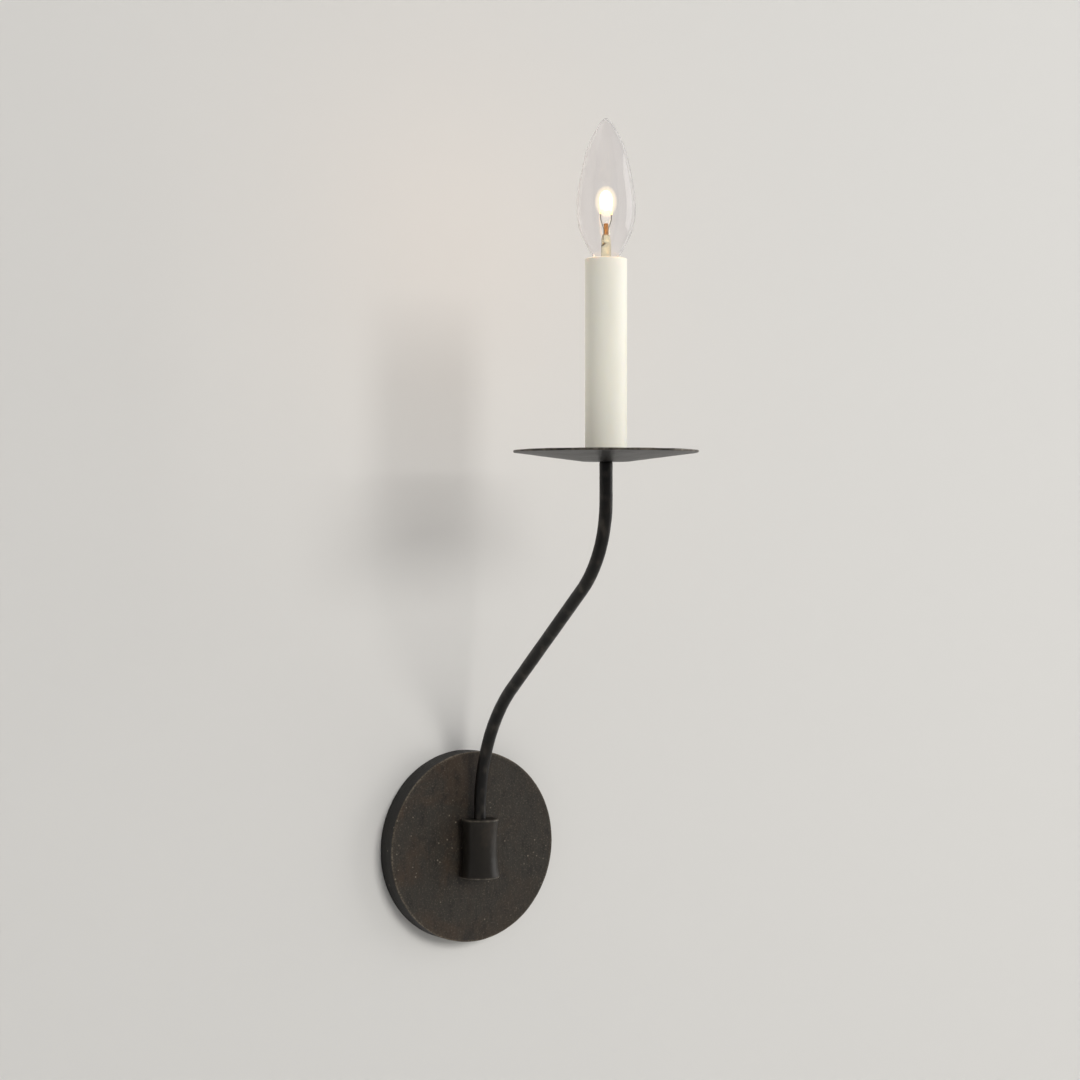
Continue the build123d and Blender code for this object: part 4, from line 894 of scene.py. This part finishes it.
def make_stem(settings):
    """Glass stem: flared foot, round tube, a top pressed flat round the wires, and an amber button rod.

    Its section is an ellipse whose width along X grows and whose depth shrinks in the press.
    """
    low, top = float(STEM_LOW[2]), float(STEM_HIGH[2])
    high = top - settings.rod
    foot, tube, tip, rod = float(STEM_HIGH[0]), settings.stem, settings.stem_tip, settings.rod_radius
    corners = [(0.0, top), (rod * 1.3, top), (rod, high + 0.002), (rod, high), (tip, high),
               (tube, high - tube), (tube, low + 0.005), (foot, low + 0.0008), (foot, low), (0.0, low)]
    outline = rounded_line(corners, [0.0006, 0.001, 0.0003, 0.0006, 0.001, 0.004, 0.0002, 0.0002], 0.0005)
    grid = turned(outline, 48)
    height = grid[..., 2]
    pressed = np.clip((height - (high - 0.007)) / 0.003, 0, 1) - np.clip((height - high) / 0.0004, 0, 1)
    pressed = pressed * pressed * (3 - 2 * pressed)
    grid[..., 0] *= 1 + 0.10 * pressed
    grid[..., 1] = (grid[..., 1] + REACH) * (1 - 0.52 * pressed) - REACH
    stem = add_piece(mesh_of("stem", [(grid, False)]), stem_glass(settings, high), "lamp",
                     ["bulb_stem"], sharp=60)
    stem.visible_shadow = False


def make_supports(settings):
    """Two nickel wires: round rings along a rounded line from the press to the filament's ends."""
    low, high = float(SUPPORT_LOW[2]), float(SUPPORT_HIGH[2])
    radius = float(SUPPORT_HIGH[1] - SUPPORT_LOW[1]) / 2
    far = float(SUPPORT_HIGH[0]) - radius
    near = settings.spread
    line = rounded_line([(near, low), (near, low + 0.003), (far, high - 0.003), (far, high)],
                        [0.002, 0.002], 0.0004)
    shells = []
    for side in (-1, 1):
        centres = np.stack([side * line[:, 0], np.full(len(line), -REACH), line[:, 1]], axis=1)
        heading = unit_rows(np.gradient(centres, axis=0))
        other = np.tile([0, 1.0, 0], (len(line), 1))
        size = np.full((len(line), 1), radius * 0.8)
        shells.append((carried(centres, np.cross(heading, other), other, size, 14), False))
    finish = wire_metal("nickel_wire", (0.20, 0.18, 0.15), (0.32, 0.29, 0.24), 0.28)
    add_piece(mesh_of("support_wires", shells), finish, "lamp", ["filament_supports"])


def make_filament(settings):
    """Wound filament: wire rings carried along a coil, which itself winds along a horseshoe.

    The horseshoe runs up one side, over an arc and down the other. With n across it in its plane and y
    square to the plane, the coil is centre + c (cos t n + sin t y), and the wire's ring lies in the
    plane of that spoke and the spoke's cross product with the coil's direction.
    """
    low, high = FILAMENT_LOW, FILAMENT_HIGH
    coil_r = float(high[1] - low[1]) / 2 - settings.wire
    half = float(high[0]) - coil_r - settings.wire
    foot, arch = float(low[2]), float(high[2]) - half - coil_r - settings.wire
    leg = arch - foot
    total = 2 * leg + math.pi * half
    steps = settings.turns * 14
    along = np.linspace(0, total, steps)
    in_arc = np.clip(along - leg, 0, math.pi * half) / half
    x = -half * np.cos(in_arc)
    z = foot + np.clip(along, 0, leg) - np.clip(along - leg - math.pi * half, 0, leg) + half * np.sin(in_arc)
    centre = np.stack([x, np.full(steps, -REACH), z], axis=1)
    across = np.stack([-np.cos(in_arc), 0 * x, np.sin(in_arc)], axis=1)
    beside = np.tile([0, 1.0, 0], (steps, 1))
    turn = (np.linspace(0, settings.turns * TAU, steps))[:, None]
    spoke = np.cos(turn) * across + np.sin(turn) * beside
    coil = centre + coil_r * spoke
    binormal = unit_rows(np.cross(unit_rows(np.gradient(coil, axis=0)), spoke))
    size = np.full((steps, 1), settings.wire)
    grid = carried(coil, spoke, binormal, size, 7)
    add_piece(mesh_of("coiled_wire", [(grid, False)]), glowing_filament(settings), "lamp",
              ["filament"], sharp=180)


# ---- operators -------------------------------------------------------------------------------
class SCONCE_OT_plate(bpy.types.Operator):
    """Builds the round wall plate"""

    bl_idname = "sconce.plate"
    bl_label = "Wall Plate"

    def execute(self, context):
        make_plate(context.scene.sconce_plate)
        return {"FINISHED"}


class SCONCE_OT_iron(bpy.types.Operator):
    """Builds the boss, the bent arm and the drip pan"""

    bl_idname = "sconce.iron"
    bl_label = "Boss, Arm and Pan"

    def execute(self, context):
        settings = context.scene.sconce_iron
        make_boss(settings)
        make_arm(settings)
        make_pan(settings)
        return {"FINISHED"}


class SCONCE_OT_candle(bpy.types.Operator):
    """Builds the ivory candle sleeve"""

    bl_idname = "sconce.candle"
    bl_label = "Candle Sleeve"

    def execute(self, context):
        make_sleeve(context.scene.sconce_candle)
        return {"FINISHED"}


class SCONCE_OT_lamp(bpy.types.Operator):
    """Builds the lamp's glass, stem, support wires and filament"""

    bl_idname = "sconce.lamp"
    bl_label = "Lamp"

    def execute(self, context):
        settings = context.scene.sconce_lamp
        make_glass(settings)
        make_stem(settings)
        make_supports(settings)
        make_filament(settings)
        return {"FINISHED"}


def fitting_finishes():
    """Finish of every packed piece that is shown as it is, by name."""
    zinc = zinc_steel()
    black_mould = moulding("black_moulding", (0.016, 0.014, 0.013), (0.030, 0.025, 0.022), 0.30)
    white_mould = moulding("white_moulding", (0.74, 0.73, 0.69), (0.82, 0.81, 0.77), 0.35)
    brass = wire_metal("lamp_brass", (0.62, 0.44, 0.17), (0.80, 0.60, 0.27), 0.24)
    black_screw = wire_metal("black_screw", (0.030, 0.027, 0.024), (0.060, 0.052, 0.045), 0.38)
    return {
        zinc: ("boss_screws", "arm_set_screw", "ground_screw", "block_screw", "mounting_strap", "ground_lug",
               "clamp_screws", "lock_washer", "pan_nut", "socket_bracket", "terminal_screws"),
        black_screw: ("plate_set_screws",),
        brass: ("terminal_barrels", "shell_terminal", "contact_terminal", "socket_shell", "socket_contact",
                "bulb_shell", "bracket_rivet"),
        black_mould: ("lampholder", "bulb_insulator"),
        white_mould: ("wire_bushing", "terminal_block"),
        moulding("solder", (0.55, 0.55, 0.56), (0.72, 0.72, 0.73), 0.34, metal=1.0): ("bulb_contact",),
        moulding("black_insulation", (0.012, 0.012, 0.013), (0.024, 0.024, 0.025), 0.38): ("lead_black",),
        moulding("white_insulation", (0.72, 0.71, 0.68), (0.82, 0.81, 0.78), 0.38): ("lead_white",),
        moulding("green_insulation", (0.030, 0.16, 0.055), (0.050, 0.23, 0.085), 0.38): ("lead_ground",),
        fibre_paper(): ("socket_liner",),
    }


class SCONCE_OT_fittings(bpy.types.Operator):
    """Gives the screws, strap, wires, terminals and lampholder their finishes"""

    bl_idname = "sconce.fittings"
    bl_label = "Fittings"

    def execute(self, context):
        for finish, names in fitting_finishes().items():
            for name in names:
                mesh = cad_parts[name].data
                mesh.materials.clear()
                mesh.materials.append(finish)
        return {"FINISHED"}


def plain_paint(name, shade, rough, one_sided=False):
    """Plain matt paint. A one-sided one shows only from its front."""
    paint = Paint(name)
    values = {"Base Color": shade, "Roughness": rough, "Specular IOR Level": 0.2}
    shader = paint.node("BsdfPrincipled", None, values).outputs[0]
    if one_sided:
        back = paint.node("NewGeometry").outputs["Backfacing"]
        clear = paint.node("BsdfTransparent").outputs[0]
        shader = paint.node("MixShader", None, {0: back, 1: shader, 2: clear}).outputs[0]
    output = paint.node("OutputMaterial")
    paint.tree.links.new(shader, output.inputs["Surface"])
    return paint.material


def opened_wall(wide, low, high, opening):
    """Corners and faces of a wall with a round opening behind the plate.

    Quads run out along each direction (cos a, sin a) from the opening's edge to the wall's own edge.
    """
    count = 96
    angle = np.linspace(0, TAU, count, endpoint=False)
    across, up = np.cos(angle), np.sin(angle)
    to_side = wide / np.maximum(abs(across), 1e-9)
    to_end = np.where(up > 0, high, -low) / np.maximum(abs(up), 1e-9)
    distance = np.concatenate([np.full(count, opening), np.minimum(to_side, to_end)])
    corners = np.stack([distance * np.tile(across, 2), 0 * distance, distance * np.tile(up, 2)], axis=1)
    near = np.arange(count)
    after = np.roll(near, -1)
    return corners.tolist(), np.stack([near, near + count, after + count, after], axis=1).tolist()


def add_sheet(name, corners, faces, finish):
    """Flat backdrop."""
    mesh = bpy.data.meshes.new(name)
    mesh.from_pydata(corners, [], faces)
    mesh.materials.append(finish)
    sheet = bpy.data.objects.new(name, mesh)
    bpy.context.scene.collection.objects.link(sheet)
    return sheet


def add_light(name, kind, place, aim, power, shade, **settings):
    """Lamp or soft box at a place, turned towards a point."""
    data = bpy.data.lights.new(name, kind)
    data.energy, data.color = power, shade
    for key, value in settings.items():
        setattr(data, key, value)
    light = bpy.data.objects.new(name, data)
    bpy.context.scene.collection.objects.link(light)
    look = Vector(aim) - Vector(place)
    light.rotation_mode = "QUATERNION"
    light.rotation_quaternion = look.to_track_quat("-Z", "Y")
    light.location = place
    light.visible_camera = False
    return light


def add_glow(name, centre, half_width, half_height, shade, strength):
    """Soft light round the filament: an egg of evenly glowing volume, a painted glare, brightest where it is
    deepest.

    Its surface is (half width sin a) from the axis and (half height cos a) up.
    """
    angle = np.linspace(0.02, math.pi - 0.02, 24)
    line = np.stack([half_width * np.sin(angle), centre + half_height * np.cos(angle)], axis=1)
    glow = bpy.data.objects.new(name, mesh_of(name, [(turned(line, 32), False)]))
    bpy.context.scene.collection.objects.link(glow)
    paint = Paint(name)
    air = paint.node("Emission", None, {"Color": shade, "Strength": strength})
    paint.tree.links.new(air.outputs[0], paint.node("OutputMaterial").inputs["Volume"])
    glow.data.materials.append(paint.material)
    glow.visible_shadow = False
    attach(glow, "lamp")


class SCONCE_OT_stage(bpy.types.Operator):
    """Sets up the wall, the floor, the lights and the camera"""

    bl_idname = "sconce.stage"
    bl_label = "Stage"

    def execute(self, context):
        settings = context.scene.sconce_stage
        wide, high, floor = 6.0, 3.0, -settings.drop
        # The opening ends under the plate's rim, so that the front never shows it.
        add_sheet("wall", *opened_wall(wide, floor, high, PLATE_R - 0.0015),
                  plain_paint("wall_paint", settings.wall, 0.9, one_sided=True))
        ground = [(-wide, -wide, floor), (wide, -wide, floor), (wide, wide, floor), (-wide, wide, floor)]
        add_sheet("floor", ground, [(0, 1, 2, 3)], plain_paint("floor_paint", settings.floor, 0.9))
        aim = (0.0, -0.08, 0.16)
        side = add_light("side_box", "AREA", (2.70, -1.15, 0.60), aim, settings.side, (1.0, 0.985, 0.96),
                         shape="RECTANGLE", size=1.8, size_y=2.2)
        side.visible_transmission = False
        front = add_light("front_box", "AREA", (0.50, -3.20, 1.05), aim, settings.front, (1.0, 0.985, 0.96),
                          shape="RECTANGLE", size=1.5, size_y=1.2)
        front.visible_glossy = front.visible_transmission = False
        add_light("back_box", "AREA", (0.50, 1.70, 0.80), (0, 0, 0), settings.back, (1.0, 0.99, 0.97),
                  shape="RECTANGLE", size=1.2, size_y=1.2)
        filament = (Vector(FILAMENT_LOW) + Vector(FILAMENT_HIGH)) / 2
        lamp = add_light("lamp_light", "POINT", filament, (0, 0, 0), settings.lamp, (1.0, 0.56, 0.27),
                         shadow_soft_size=0.005)
        lamp.visible_glossy = lamp.visible_transmission = False
        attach(lamp, "lamp")
        # Painted glare round the filament: two glowing volumes.
        add_glow("glow_core", filament.z + 0.0018, 0.0038, 0.0056, (1.0, 0.90, 0.66), 300.0)
        add_glow("glow_fringe", filament.z + 0.0012, 0.0062, 0.0086, (1.0, 0.80, 0.42), 50.0)
        world = bpy.data.worlds.new("room")
        world.use_nodes = True
        sky = world.node_tree.nodes["Background"]
        sky.inputs["Color"].default_value = (0.93, 0.95, 1.0, 1)
        sky.inputs["Strength"].default_value = settings.room
        context.scene.world = world
        camera = bpy.data.cameras.new("camera")
        camera.lens, camera.sensor_width = 75.87, 36.0
        camera.shift_y = -0.0187
        camera.clip_start, camera.clip_end = 0.05, 50.0
        eye = bpy.data.objects.new("camera", camera)
        context.scene.collection.objects.link(eye)
        eye.location = (-0.7350, -1.1606, 0.1955)
        eye.rotation_mode = "XYZ"
        eye.rotation_euler = (math.radians(90), 0, math.radians(-34.312))
        context.scene.camera = eye
        context.scene.view_settings.view_transform = "Standard"
        return {"FINISHED"}


class SCONCE_PT_panel(bpy.types.Panel):
    """Sconce settings and steps"""

    bl_idname = "SCONCE_PT_panel"
    bl_label = "Wall Sconce"
    bl_space_type = "VIEW_3D"
    bl_region_type = "UI"
    bl_category = "Sconce"

    def draw(self, context):
        for name, kind in SETTINGS.items():
            box = self.layout.box()
            box.label(text=kind.__doc__)
            settings = getattr(context.scene, name)
            for key in kind.__annotations__:
                box.prop(settings, key)
        for step in STEPS:
            self.layout.operator(step.bl_idname)


STEPS = (SCONCE_OT_plate, SCONCE_OT_iron, SCONCE_OT_candle, SCONCE_OT_lamp, SCONCE_OT_fittings,
         SCONCE_OT_stage)


def register():
    for kind in (*SETTINGS.values(), *STEPS, SCONCE_PT_panel):
        bpy.utils.register_class(kind)
    for name, kind in SETTINGS.items():
        setattr(bpy.types.Scene, name, PointerProperty(type=kind))


def unregister():
    for name in SETTINGS:
        delattr(bpy.types.Scene, name)
    for kind in reversed((*SETTINGS.values(), *STEPS, SCONCE_PT_panel)):
        bpy.utils.unregister_class(kind)


def main():
    register()
    bpy.ops.sconce.plate()
    bpy.ops.sconce.iron()
    bpy.ops.sconce.candle()
    bpy.ops.sconce.lamp()
    bpy.ops.sconce.fittings()
    bpy.ops.sconce.stage()


if __name__ == "__main__":
    main()
